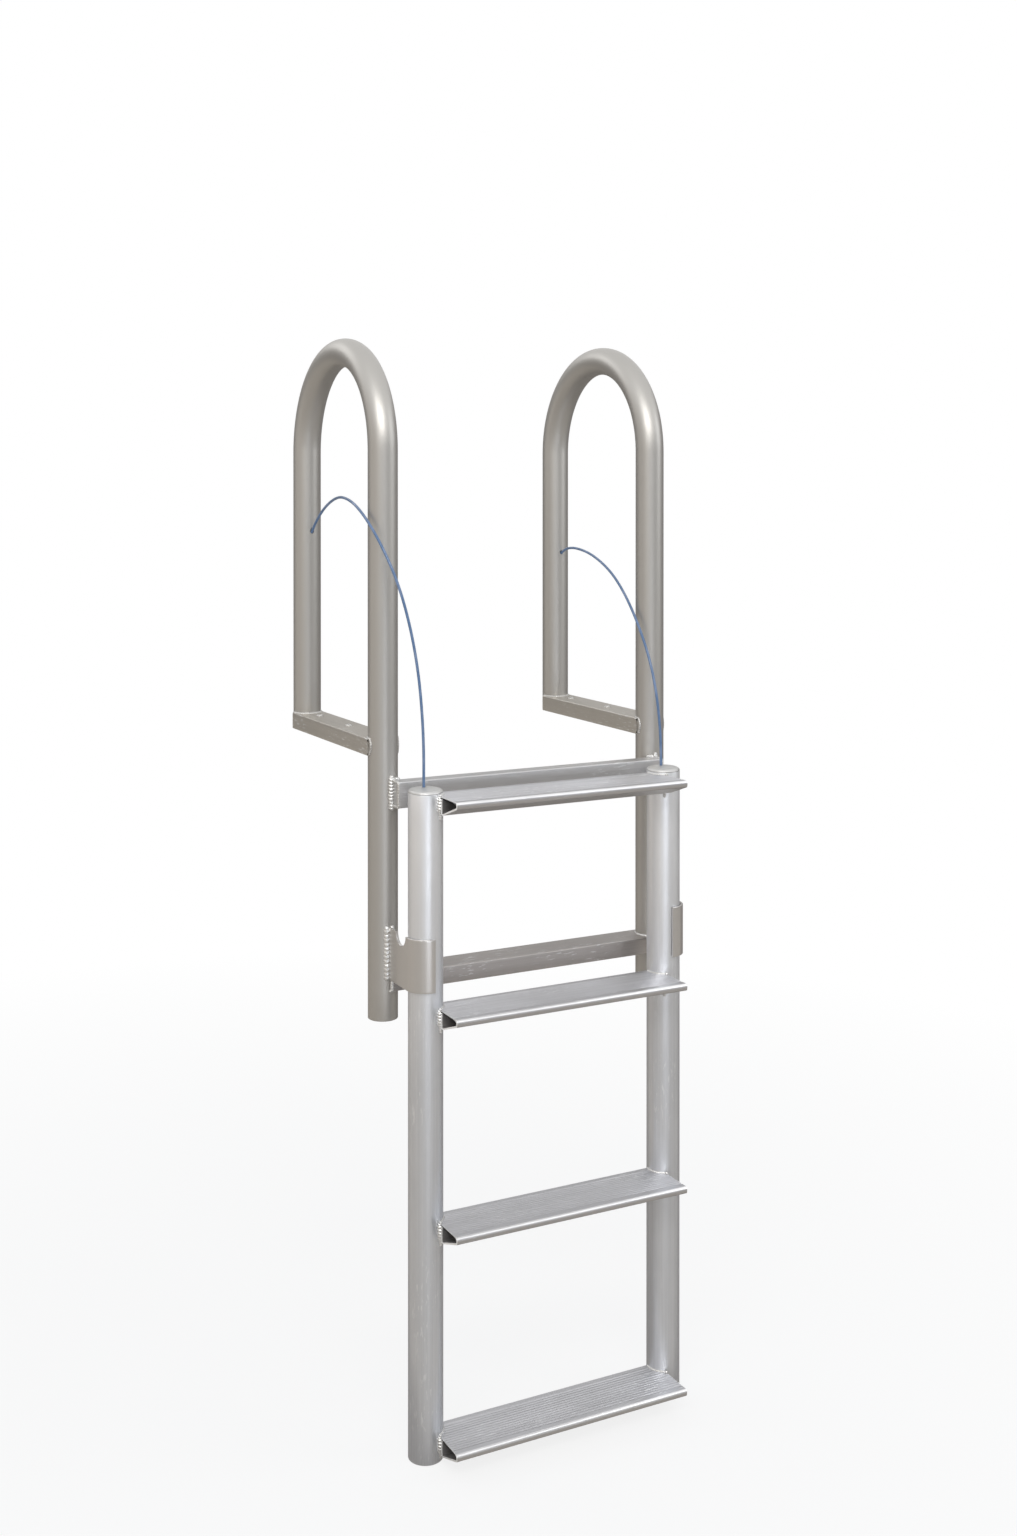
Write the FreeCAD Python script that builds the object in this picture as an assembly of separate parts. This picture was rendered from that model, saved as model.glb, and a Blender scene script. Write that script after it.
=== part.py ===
import FreeCAD, Part
import math
import os

# Lifting dock ladder of welded aluminium tube, millimetres.
# A foot bar that bolts to the dock deck joins the two legs of each handrail hoop, and the hoop's
# front leg runs on downward as a post. Two crossbars join the posts. A four-tread ladder slides
# up and down in front of them, held by a hook bracket on each post, and a cord ties each
# of its rails to the hoop above it.
# The origin is on the underside of the left foot bar, midway between its two bolt holes.
# +X goes across to the right foot, -Y towards the climber, +Z up.

V = FreeCAD.Vector
UP = V(0, 0, 1)
FORWARD = V(0, -1, 0)

# Handrail tube
post_od = 44.45
post_wall = 3.175
post_spacing = 463.55
hoop_reach = 304.8
hoop_height = 596.9
post_drop = 387.0

# Foot bars, and the stock that the lower crossbar shares
foot_width = 50.8
foot_height = 25.4
foot_wall = 3.175
foot_corner = 1.6

# Bolt holes of the foot bars
bolt_hole_r = 4.4
bolt_spacing = 120.0
bolt_front_distance = 130.0

# Crossbars
upper_bar_depth = 25.4
upper_bar_height = 38.1
upper_bar_wall = 3.175
upper_bar_corner = 1.6
upper_bar_top = -34.0
upper_bar_end_inset = 5.0
upper_bar_bite = 1.0
lower_bar_depth = 50.8
lower_bar_height = 25.4
lower_bar_wall = 3.175
lower_bar_corner = 1.6
lower_bar_top = -318.0
lower_bar_end_inset = 3.2

# Sliding ladder rails
rail_od = 50.8
rail_wall = 3.175
rail_spacing = 404.8
rail_forward = 85.0
rail_top = -44.0
rail_foot = 13.8

# Domed top caps of the rails
cap_rise = 7.0
cap_edge_round = 6.0
cap_plug_depth = 12.0

# Treads
tread_pitch = 304.8
tread_count = 4
first_tread_top = -46.4
tread_depth = 88.9
tread_back_overhang = 6.5
tread_end_inset = 10.0
tread_plate = 2.4
tread_tip_height = 5.0
tread_nose_wall = 2.6
tread_box_front = 37.0
tread_box_foot = 6.0
tread_web = 3.0
tread_box_height = 25.4
tread_skin = 2.2
groove_count = 12
groove_pitch = 5.6
groove_width = 2.2
groove_depth = 0.8
groove_start = 9.0

# Hook brackets
bracket_plate = 4.0
bracket_clearance = 1.0
bracket_height = 76.2
bracket_top = -249.0
bracket_wrap_past_front = 3.0
bracket_notch_r = 17.0
bracket_notch_setback = 20.0

# Cords
cord_d = 4.2
cord_hole_clearance = 1.0
cord_stop_r = 4.6
cord_stop_length = 9.0
cord_stop_gap = 0.3
cap_hole_setback = 6.0

# Worked out from the sizes above
post_r = post_od / 2
rail_r = rail_od / 2
post_y = -(bolt_front_distance + bolt_spacing / 2)
rear_leg_y = post_y + hoop_reach
left_x = 0.0
right_x = post_spacing
middle_x = post_spacing / 2
rail_y = post_y - rail_forward
left_rail_x = middle_x - rail_spacing / 2
right_rail_x = middle_x + rail_spacing / 2
last_tread_top = first_tread_top - (tread_count - 1) * tread_pitch
rail_bottom = last_tread_top - tread_box_height - rail_foot
rail_length = rail_top - rail_bottom
bend_r = hoop_reach / 2
bend_z = foot_height + hoop_height - post_r - bend_r
cap_hole_y = rail_y + cap_hole_setback
cord_lower_end = rail_top - cap_plug_depth - cord_stop_gap - cord_stop_length


def cylinder(radius, length, base, axis=UP):
    return Part.makeCylinder(radius, length, base, axis)


def box(x0, y0, z0, x1, y1, z1):
    return Part.makeBox(x1 - x0, y1 - y0, z1 - z0, V(x0, y0, z0))


def export(shape, node):
    shape = shape.removeSplitter()
    if len(shape.Solids) == 1:
        shape = shape.Solids[0]
    shape.exportStep("parts/" + node + ".step")
    print(node, "solids", len(shape.Solids), "valid", shape.isValid(), "volume", round(shape.Volume, 1))


def bar(x0, y0, z0, x1, y1, z1, corner, along):
    """A straight bar with its four long edges rounded."""
    solid = box(x0, y0, z0, x1, y1, z1)
    edges = []
    for edge in solid.Edges:
        direction = edge.tangentAt(edge.FirstParameter)
        if abs(direction.dot(along)) > 0.99:
            edges.append(edge)
    return solid.makeFillet(corner, edges)


def hoop_path(x):
    """The centre line of one handrail: rear leg up, half circle over, front leg down to the post's end."""
    rear_foot = V(x, rear_leg_y, 0)
    rear_top = V(x, rear_leg_y, bend_z)
    crown = V(x, (rear_leg_y + post_y) / 2, bend_z + bend_r)
    front_top = V(x, post_y, bend_z)
    post_end = V(x, post_y, -post_drop)
    return Part.Wire([
        Part.LineSegment(rear_foot, rear_top).toShape(),
        Part.Arc(rear_top, crown, front_top).toShape(),
        Part.LineSegment(front_top, post_end).toShape(),
    ])


def swept_rod(path, radius, start, direction):
    ring = Part.Wire([Part.Circle(start, direction, radius).toShape()])
    return path.makePipeShell([ring], True, True)


def first_run(route):
    """The start of a route and the straight run to its second point."""
    start = V(*route[0])
    return start, V(*route[1]) - start


def handrail(x, route):
    """One hoop of tube. The cord's hole is drilled through the rear leg along the cord's first run."""
    foot = V(x, rear_leg_y, 0)
    outer = swept_rod(hoop_path(x), post_r, foot, UP)
    inner = swept_rod(hoop_path(x), post_r - post_wall, foot, UP)
    start, run = first_run(route)
    hole = cylinder(cord_d / 2 + cord_hole_clearance, run.Length, start, run)
    return outer.cut(inner).cut(hole)


def foot_bar(x):
    """A flat tube between the hoop's legs. Each end is notched round a leg, so the side walls hug it."""
    half = foot_width / 2
    wall = foot_wall
    outer = bar(x - half, post_y, 0, x + half, rear_leg_y, foot_height, foot_corner, FORWARD)
    inner = box(x - half + wall, post_y, wall, x + half - wall, rear_leg_y, foot_height - wall)
    shape = outer.cut(inner)
    for leg_y in (post_y, rear_leg_y):
        shape = shape.cut(cylinder(post_r, foot_height, V(x, leg_y, 0)))
    for side in (-1, 1):
        hole_y = side * bolt_spacing / 2
        shape = shape.cut(cylinder(bolt_hole_r, foot_height, V(x, hole_y, 0)))
    return shape


def upper_crossbar():
    """Stands on edge against the fronts of the posts, its back notched a little by each post."""
    x0 = left_x + upper_bar_end_inset
    x1 = right_x - upper_bar_end_inset
    back = post_y - post_r + upper_bar_bite
    front = back - upper_bar_depth
    z0 = upper_bar_top - upper_bar_height
    outer = bar(x0, front, z0, x1, back, upper_bar_top, upper_bar_corner, V(1, 0, 0))
    wall = upper_bar_wall
    inner = box(x0 + wall, front + wall, z0 + wall, x1 - wall, back - wall, upper_bar_top - wall)
    shape = outer.cut(inner)
    for x in (left_x, right_x):
        shape = shape.cut(cylinder(post_r, upper_bar_height, V(x, post_y, z0)))
    return shape


def lower_crossbar():
    """Lies flat between the posts, centred on them, with each end coped to the post's side."""
    z0 = lower_bar_top - lower_bar_height
    y0 = post_y - lower_bar_depth / 2
    y1 = post_y + lower_bar_depth / 2
    wall = lower_bar_wall
    x0 = left_x + lower_bar_end_inset
    x1 = right_x - lower_bar_end_inset
    outer = bar(x0, y0, z0, x1, y1, lower_bar_top, lower_bar_corner, V(1, 0, 0))
    inner = box(x0, y0 + wall, z0 + wall, x1, y1 - wall, lower_bar_top - wall)
    shape = outer.cut(inner)
    for x in (left_x, right_x):
        shape = shape.cut(cylinder(post_r, lower_bar_height, V(x, post_y, z0)))
    return shape


def hook_bracket(rail_x, post_x, side):
    """A plate from the post's front, past the rail's side and round to its front. Left has side -1.

    A half-round notch is cut in its top edge, between the post and the rail.
    """
    inner_r = rail_r + bracket_clearance
    outer_r = inner_r + bracket_plate
    z0 = bracket_top - bracket_height
    centre = V(rail_x, rail_y, z0)
    end_angle = math.radians(bracket_wrap_past_front)

    def at(radius, turn):
        """A point round the rail: turn 0 is straight out beside it, 90 degrees its front."""
        return centre + V(side * radius * math.cos(turn), -radius * math.sin(turn), 0)

    quarter = math.pi / 2
    last = quarter + end_angle
    outer_back = V(rail_x + side * outer_r, post_y, z0)
    inner_back = V(rail_x + side * inner_r, post_y, z0)
    outline = Part.Wire([
        Part.LineSegment(outer_back, at(outer_r, 0)).toShape(),
        Part.Arc(at(outer_r, 0), at(outer_r, last / 2), at(outer_r, last)).toShape(),
        Part.LineSegment(at(outer_r, last), at(inner_r, last)).toShape(),
        Part.Arc(at(inner_r, last), at(inner_r, last / 2), at(inner_r, 0)).toShape(),
        Part.LineSegment(at(inner_r, 0), inner_back).toShape(),
        Part.LineSegment(inner_back, outer_back).toShape(),
    ])
    shape = Part.Face(outline).extrude(V(0, 0, bracket_height))
    notch_start = V(rail_x, rail_y + bracket_notch_setback, bracket_top)
    shape = shape.cut(cylinder(bracket_notch_r, outer_r, notch_start, V(side, 0, 0)))
    return shape.cut(cylinder(post_r, bracket_height, V(post_x, post_y, z0)))


def rail(x):
    outer = cylinder(rail_r, rail_length, V(x, rail_y, rail_bottom))
    return outer.cut(cylinder(rail_r - rail_wall, rail_length, V(x, rail_y, rail_bottom)))


def rail_cap(x):
    """A domed plug: a head over the rail's end, a shank in its bore and a hole for the cord."""
    head = cylinder(rail_r, cap_rise, V(x, rail_y, rail_top))
    rim = [edge for edge in head.Edges if abs(edge.CenterOfMass.z - rail_top - cap_rise) < 1e-6]
    head = head.makeFillet(cap_edge_round, rim)
    shank = cylinder(rail_r - rail_wall, cap_plug_depth, V(x, rail_y, rail_top - cap_plug_depth))
    shape = head.fuse(shank)
    bore_start = V(x, cap_hole_y, rail_top - cap_plug_depth)
    bore = cylinder(cord_d / 2 + cord_hole_clearance, cap_plug_depth + cap_rise, bore_start)
    return shape.cut(bore)


def tread(top):
    """A hollow extrusion: a grooved top plate, a rounded nose and a triangular box under the front half."""
    x0 = left_rail_x + tread_end_inset
    x1 = right_rail_x - tread_end_inset

    def at(forward, z):
        return V(x0, rail_y - forward, top + z)

    nose = tread_depth - tread_back_overhang
    nose_height = tread_plate + tread_tip_height + tread_skin
    nose_r = nose_height / 2
    web_back = tread_box_front - tread_box_foot
    back = -tread_back_overhang
    low = -tread_box_height
    outline = Part.Wire([
        Part.LineSegment(at(back, 0), at(nose - nose_r, 0)).toShape(),
        Part.Arc(at(nose - nose_r, 0), at(nose, -nose_r), at(nose - nose_r, -nose_height)).toShape(),
        Part.LineSegment(at(nose - nose_r, -nose_height), at(tread_box_front, low)).toShape(),
        Part.LineSegment(at(tread_box_front, low), at(web_back, low)).toShape(),
        Part.LineSegment(at(web_back, low), at(web_back, -tread_plate)).toShape(),
        Part.LineSegment(at(web_back, -tread_plate), at(back, -tread_plate)).toShape(),
        Part.LineSegment(at(back, -tread_plate), at(back, 0)).toShape(),
    ])
    along = V(x1 - x0, 0, 0)
    shape = Part.Face(outline).extrude(along)
    hollow_back = web_back + tread_web
    hollow_front = nose - tread_nose_wall
    hollow_low = low + tread_skin
    tip_low = -tread_plate - tread_tip_height
    hollow = Part.Wire([
        Part.LineSegment(at(hollow_back, -tread_plate), at(hollow_front, -tread_plate)).toShape(),
        Part.LineSegment(at(hollow_front, -tread_plate), at(hollow_front, tip_low)).toShape(),
        Part.LineSegment(at(hollow_front, tip_low), at(tread_box_front, hollow_low)).toShape(),
        Part.LineSegment(at(tread_box_front, hollow_low), at(hollow_back, hollow_low)).toShape(),
        Part.LineSegment(at(hollow_back, hollow_low), at(hollow_back, -tread_plate)).toShape(),
    ])
    shape = shape.cut(Part.Face(hollow).extrude(along))
    for i in range(groove_count):
        y1 = rail_y + tread_back_overhang - groove_start - i * groove_pitch
        shape = shape.cut(box(x0, y1 - groove_width, top - groove_depth, x1, y1, top))
    for x in (left_rail_x, right_rail_x):
        shape = shape.cut(cylinder(rail_r, tread_box_height, V(x, rail_y, top - tread_box_height)))
    return shape


# Each cord's route: from inside the rear leg out through its hole, over, and down into the rail's cap
left_route = [
    (left_x, rear_leg_y - 9.0, 307.2),
    (left_x, rear_leg_y - 28.8, 327.0),
    (-1.2, 64.0, 342.0),
    (-3.7, 32.0, 358.0),
    (-8.5, -10.0, 370.5),
    (-15.5, -57.0, 377.5),
    (-23.5, -102.0, 377.0),
    (-29.5, -148.0, 370.5),
    (-31.5, -188.0, 355.5),
    (-28.5, -222.0, 331.0),
    (-20.5, -246.0, 299.0),
    (-10.5, -260.5, 264.0),
    (-0.5, -268.5, 226.0),
    (10.5, -273.5, 175.0),
    (19.5, -274.5, 120.0),
    (25.7, -272.5, 63.0),
    (28.8, -270.0, 18.0),
    (left_rail_x, cap_hole_y, -18.0),
    (left_rail_x, cap_hole_y, cord_lower_end),
]
right_route = [
    (right_x, rear_leg_y - 8.4, 268.0),
    (right_x, rear_leg_y - 26.8, 278.5),
    (462.0, 65.0, 285.0),
    (459.8, 32.0, 285.5),
    (455.8, -15.0, 279.5),
    (450.8, -62.0, 267.0),
    (445.2, -108.0, 249.0),
    (438.8, -150.0, 225.0),
    (433.6, -186.0, 197.0),
    (431.2, -216.0, 164.0),
    (431.2, -240.0, 126.0),
    (432.2, -256.0, 83.0),
    (433.4, -265.0, 37.0),
    (right_rail_x, cap_hole_y, -10.0),
    (right_rail_x, cap_hole_y, cord_lower_end),
]


def cord(route, name):
    """A round cord: straight runs joined by tangent arcs, each arc as large as its two runs allow."""
    points = [V(*p) for p in route]
    edges = []
    here = points[0]
    length = 0.0
    for before, corner, after in zip(points, points[1:], points[2:]):
        incoming = corner - before
        outgoing = after - corner
        turn = incoming.getAngle(outgoing)
        reach = 0.45 * min(incoming.Length, outgoing.Length)
        radius = reach / math.tan(turn / 2)
        into = incoming.normalize()
        out = outgoing.normalize()
        start = corner - into * reach
        end = corner + out * reach
        inward = (out - into).normalize()
        middle = corner + inward * radius * (1 / math.cos(turn / 2) - 1)
        edges.append(Part.LineSegment(here, start).toShape())
        edges.append(Part.Arc(start, middle, end).toShape())
        length += (start - here).Length + radius * turn
        print("  ", name, "radius", round(radius, 1))
        here = end
    edges.append(Part.LineSegment(here, points[-1]).toShape())
    length += (points[-1] - here).Length
    path = Part.Wire(edges)
    solid = swept_rod(path, cord_d / 2, points[0], points[1] - points[0])
    expected = math.pi * cord_d ** 2 / 4 * length
    print(name, "length", round(length, 1), "volume ratio", round(solid.Volume / expected, 4))
    return solid


def cord_stop(end, along):
    """A collar crimped on a cord's end inside the tube, too wide for the cord's hole."""
    collar = cylinder(cord_stop_r, cord_stop_length, end, along)
    return collar.cut(cylinder(cord_d / 2, cord_stop_length, end, along))


os.makedirs("parts", exist_ok=True)

export(handrail(left_x, left_route), "left_handrail")
export(handrail(right_x, right_route), "right_handrail")
export(foot_bar(left_x), "left_foot_bar")
export(foot_bar(right_x), "right_foot_bar")
export(upper_crossbar(), "upper_crossbar")
export(lower_crossbar(), "lower_crossbar")
export(hook_bracket(left_rail_x, left_x, -1), "left_hook_bracket")
export(hook_bracket(right_rail_x, right_x, 1), "right_hook_bracket")
export(rail(left_rail_x), "left_rail")
export(rail(right_rail_x), "right_rail")
export(rail_cap(left_rail_x), "left_rail_cap")
export(rail_cap(right_rail_x), "right_rail_cap")
for i in range(tread_count):
    export(tread(first_tread_top - i * tread_pitch), "tread_" + str(i + 1))
export(cord(left_route, "left cord"), "left_cord")
export(cord(right_route, "right cord"), "right_cord")
for side, route in (("left", left_route), ("right", right_route)):
    upper_end, upper_run = first_run(route)
    export(cord_stop(upper_end, upper_run), side + "_cord_upper_stop")
    export(cord_stop(V(*route[-1]), UP), side + "_cord_lower_stop")
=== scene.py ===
# %% [markdown]
# # A lifting dock ladder in mill-finish aluminium
# Two bent tube handrails stand on a dock, and a ladder of four grooved treads slides up and down
# in front of them. The CAD model gives every size. This script dresses it: drawn tubes with real
# lips, extruded treads, weld beads, bolts and two blue cords, each with a finish of its own.
# It starts by loading the frame and keeping the size of its box.

# %% Load the frame
import math

import bmesh
import bpy
import numpy as np
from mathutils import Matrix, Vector
from mathutils.geometry import tessellate_polygon


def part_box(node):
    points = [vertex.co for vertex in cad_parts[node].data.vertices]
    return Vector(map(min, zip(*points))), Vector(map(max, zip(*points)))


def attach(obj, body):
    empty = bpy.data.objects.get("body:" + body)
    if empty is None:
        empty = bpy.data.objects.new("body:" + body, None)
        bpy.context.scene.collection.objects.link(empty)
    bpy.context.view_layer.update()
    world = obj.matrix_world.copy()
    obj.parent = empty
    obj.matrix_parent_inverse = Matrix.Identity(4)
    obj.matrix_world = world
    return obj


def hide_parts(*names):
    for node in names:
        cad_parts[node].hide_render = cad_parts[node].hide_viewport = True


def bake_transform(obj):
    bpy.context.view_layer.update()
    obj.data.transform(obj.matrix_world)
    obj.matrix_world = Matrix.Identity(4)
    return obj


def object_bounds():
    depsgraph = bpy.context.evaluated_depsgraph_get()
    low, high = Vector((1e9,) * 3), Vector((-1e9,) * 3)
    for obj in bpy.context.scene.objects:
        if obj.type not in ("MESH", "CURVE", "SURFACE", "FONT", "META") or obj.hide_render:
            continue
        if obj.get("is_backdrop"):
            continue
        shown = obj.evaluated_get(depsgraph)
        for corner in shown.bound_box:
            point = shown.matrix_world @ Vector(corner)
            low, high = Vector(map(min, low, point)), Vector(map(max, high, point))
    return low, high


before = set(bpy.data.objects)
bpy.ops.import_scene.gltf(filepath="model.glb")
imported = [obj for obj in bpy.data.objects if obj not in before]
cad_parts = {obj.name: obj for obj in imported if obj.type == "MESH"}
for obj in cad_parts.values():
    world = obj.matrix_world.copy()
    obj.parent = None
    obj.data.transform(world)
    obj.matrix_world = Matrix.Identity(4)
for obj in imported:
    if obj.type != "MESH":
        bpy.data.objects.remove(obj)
cad_low, cad_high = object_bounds()
print("CAD box in metres:", tuple(round(v, 3) for v in cad_low), tuple(round(v, 3) for v in cad_high))

scene = bpy.context.scene
scene.view_settings.view_transform = "Standard"
MM = 0.001

# %% [markdown]
# ## The camera
# The photograph was taken from the climber's side, to the left of the ladder and level with the
# handrails. A camera that looks level keeps the tubes upright, and a lens shift lowers the
# picture without tilting it, as an architect's camera does. Its numbers were fitted to the edges
# of the ladder.

# %% Camera
PHOTO_WIDTH, PHOTO_HEIGHT = 1017, 1536
FOCAL_PX = 1730.6
EYE = Vector((-1.0281, -2.5220, 0.4193))
YAW, PITCH = math.radians(27.01), math.radians(0.33)
CENTRE_PX = (480.1, 479.7)

camera_data = bpy.data.cameras.new("photo_camera")
camera = bpy.data.objects.new("photo_camera", camera_data)
scene.collection.objects.link(camera)
camera_data.sensor_width = 36.0
camera_data.lens = FOCAL_PX / PHOTO_HEIGHT * camera_data.sensor_width
camera_data.shift_x = (PHOTO_WIDTH / 2 - CENTRE_PX[0]) / PHOTO_HEIGHT
camera_data.shift_y = (CENTRE_PX[1] - PHOTO_HEIGHT / 2) / PHOTO_HEIGHT
camera.location = EYE
look = Vector((math.sin(YAW) * math.cos(PITCH), math.cos(YAW) * math.cos(PITCH), -math.sin(PITCH)))
camera.rotation_mode = "QUATERNION"
camera.rotation_quaternion = look.to_track_quat("-Z", "Y")
camera_data.clip_start, camera_data.clip_end = 0.05, 60.0
scene.camera = camera
lens_shift = round(camera_data.shift_x, 4), round(camera_data.shift_y, 4)
print("lens", round(camera_data.lens, 2), "mm, shift", lens_shift)

# %% [markdown]
# ## Surfaces from arrays
# Every new piece here is a grid of points worked out at once with numpy. One helper turns such a
# grid into a mesh. It also stores the attribute "drawn" on each point: where the point was before
# the stock was bent or cut, with the third number running along the stock. The finish reads it,
# so die lines follow a tube round its bend.

# %% Lines and circles
def unit(vectors):
    """Each vector divided by its own length."""
    return vectors / np.linalg.norm(vectors, axis=-1, keepdims=True)


def run_along(points):
    """How far along a line each of its points is: the sum of the steps that lead to it."""
    return np.concatenate([[0.0], np.cumsum(np.linalg.norm(np.diff(points, axis=0), axis=1))])


def turns(count):
    """Evenly spaced angles round a full turn."""
    return np.arange(count) * 2 * np.pi / count


def circles(first, second, turn):
    """One ring for each row of the two arrays: cos t first + sin t second, for every angle t."""
    return np.cos(turn)[:, None] * first[:, None, :] + np.sin(turn)[:, None] * second[:, None, :]


# %% A mesh from vertices and faces
SHARP_DEGREES, ALL_SMOOTH = 35.0, 180.0


def places(mesh):
    """The places of a mesh's points, as an array of three columns."""
    coords = np.zeros(len(mesh.vertices) * 3)
    mesh.vertices.foreach_get("co", coords)
    return coords.reshape(-1, 3)


def new_piece(name, points, faces, drawn, sharp_degrees=SHARP_DEGREES):
    """A mesh object at the origin. Faces are turned so that they point outwards.

    The signed volume is the sum over triangles of a . (b x c) / 6; it is negative when the
    faces point inwards, and then every face is reversed.
    """
    mesh = bpy.data.meshes.new(name)
    mesh.from_pydata(points.reshape(-1, 3).tolist(), [], faces)
    mesh.validate()
    mesh.calc_loop_triangles()
    corners = np.zeros(len(mesh.loop_triangles) * 3, np.int32)
    mesh.loop_triangles.foreach_get("vertices", corners)
    a, b, c = places(mesh)[corners.reshape(-1, 3)].transpose(1, 0, 2)
    if np.einsum("ij,ij->i", a, np.cross(b, c)).sum() < 0:
        mesh.flip_normals()
    layer = mesh.attributes.new("drawn", "FLOAT_VECTOR", "POINT")
    layer.data.foreach_set("vector", drawn.reshape(-1, 3).astype(np.float32).ravel())
    mesh.shade_smooth()
    mesh.set_sharp_from_angle(angle=math.radians(sharp_degrees))
    piece = bpy.data.objects.new(name, mesh)
    scene.collection.objects.link(piece)
    return piece


def grid_faces(rows, columns, close_rows):
    """Quads between neighbouring rows and columns. Columns always close on themselves."""
    index = np.arange(rows * columns).reshape(rows, columns)
    upper = index if close_rows else index[:-1]
    lower = np.roll(index, -1, axis=0) if close_rows else index[1:]
    quads = np.stack([upper, np.roll(upper, -1, 1), np.roll(lower, -1, 1), lower], axis=-1)
    return quads.reshape(-1, 4)


def flat_ended(rows, columns):
    """The faces of a grid that is closed by one flat face on its first row and one on its last."""
    last = rows * columns - 1
    ends = [list(range(columns)), list(range(last, last - columns, -1))]
    return grid_faces(rows, columns, False).tolist() + ends


def capped_sweep(rings, poles):
    """Points and faces of rings joined in a row, each end closed by a fan to a pole point."""
    rows, columns = rings.shape[:2]
    column = np.arange(columns)
    start_fan = np.stack([np.full(columns, rows * columns), column, np.roll(column, -1)], axis=-1)
    last = column + (rows - 1) * columns
    end_fan = np.stack([np.full(columns, rows * columns + 1), np.roll(last, -1), last], axis=-1)
    points = np.concatenate([rings.reshape(-1, 3), poles])
    faces = grid_faces(rows, columns, False).tolist() + start_fan.tolist() + end_fan.tolist()
    return points, faces


def settle(piece, body, slot, finish, *nodes):
    """Gives a piece its finish, its body and the CAD nodes that it stands for.

    `slot` is not used.
    """
    piece.data.materials.clear()
    piece.data.materials.append(finish)
    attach(piece, body)
    if nodes:
        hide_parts(*nodes)
    print(piece.name, "rides", body, "with", len(piece.data.polygons), "faces")


# %% [markdown]
# ## The finish of mill aluminium
# Drawn and extruded aluminium is left as it comes from the die: satin, with faint lengthwise die
# lines, soft clouds of handling marks and a few scuffs that catch the light. The same node group
# serves every metal piece, with its own colours and strengths in each material. It reads the
# stock's own coordinates, so the lines run along every tube and bar.

# %% Node helpers
def feed(tree, socket, given):
    """Links a socket to the given one, or sets it to the given value."""
    if isinstance(given, bpy.types.NodeSocket):
        tree.links.new(given, socket)
    else:
        socket.default_value = given


def add_node(tree, kind, **values):
    """Adds a node and sets its properties, or its sockets where a name starts with in_."""
    node = tree.nodes.new(kind)
    for key, value in values.items():
        if key.startswith("in_"):
            node.inputs[key[3:].replace("_", " ")].default_value = value
        else:
            setattr(node, key, value)
    return node


def numbers(tree, vector):
    """The three numbers of a vector, as sockets."""
    parts = add_node(tree, "ShaderNodeSeparateXYZ")
    tree.links.new(vector, parts.inputs[0])
    return parts.outputs


def mixed(tree, kind, factor, a, b):
    """A Mix node on colours. Each argument is a socket, or a value for the socket."""
    node = add_node(tree, "ShaderNodeMix", data_type="RGBA", blend_type=kind)
    for index, given in ((0, factor), (6, a), (7, b)):
        feed(tree, node.inputs[index], given)
    return node.outputs[2]


def worked(tree, operation, *given):
    """A Math node on sockets or numbers."""
    node = add_node(tree, "ShaderNodeMath", operation=operation)
    for socket, value in zip(node.inputs, given):
        feed(tree, socket, value)
    return node.outputs[0]


def noise(tree, vector, scale, detail=3.0, stretch=(1.0, 1.0, 1.0), shift=(0.0, 0.0, 0.0)):
    """Noise of about `scale` spots a metre, read at a stretched and shifted place."""
    mapping = add_node(tree, "ShaderNodeMapping", in_Scale=stretch, in_Location=shift)
    texture = add_node(tree, "ShaderNodeTexNoise", in_Scale=scale, in_Detail=detail)
    tree.links.new(vector, mapping.inputs["Vector"])
    tree.links.new(mapping.outputs["Vector"], texture.inputs["Vector"])
    return texture.outputs["Fac"]


def ranged(tree, value, low, high, to_low=0.0, to_high=1.0):
    """Maps a value from one range to another, clamped."""
    node = add_node(tree, "ShaderNodeMapRange")
    sockets = ("Value", "From Min", "From Max", "To Min", "To Max")
    for socket, given in zip(sockets, (value, low, high, to_low, to_high)):
        feed(tree, node.inputs[socket], given)
    return node.outputs["Result"]


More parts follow.
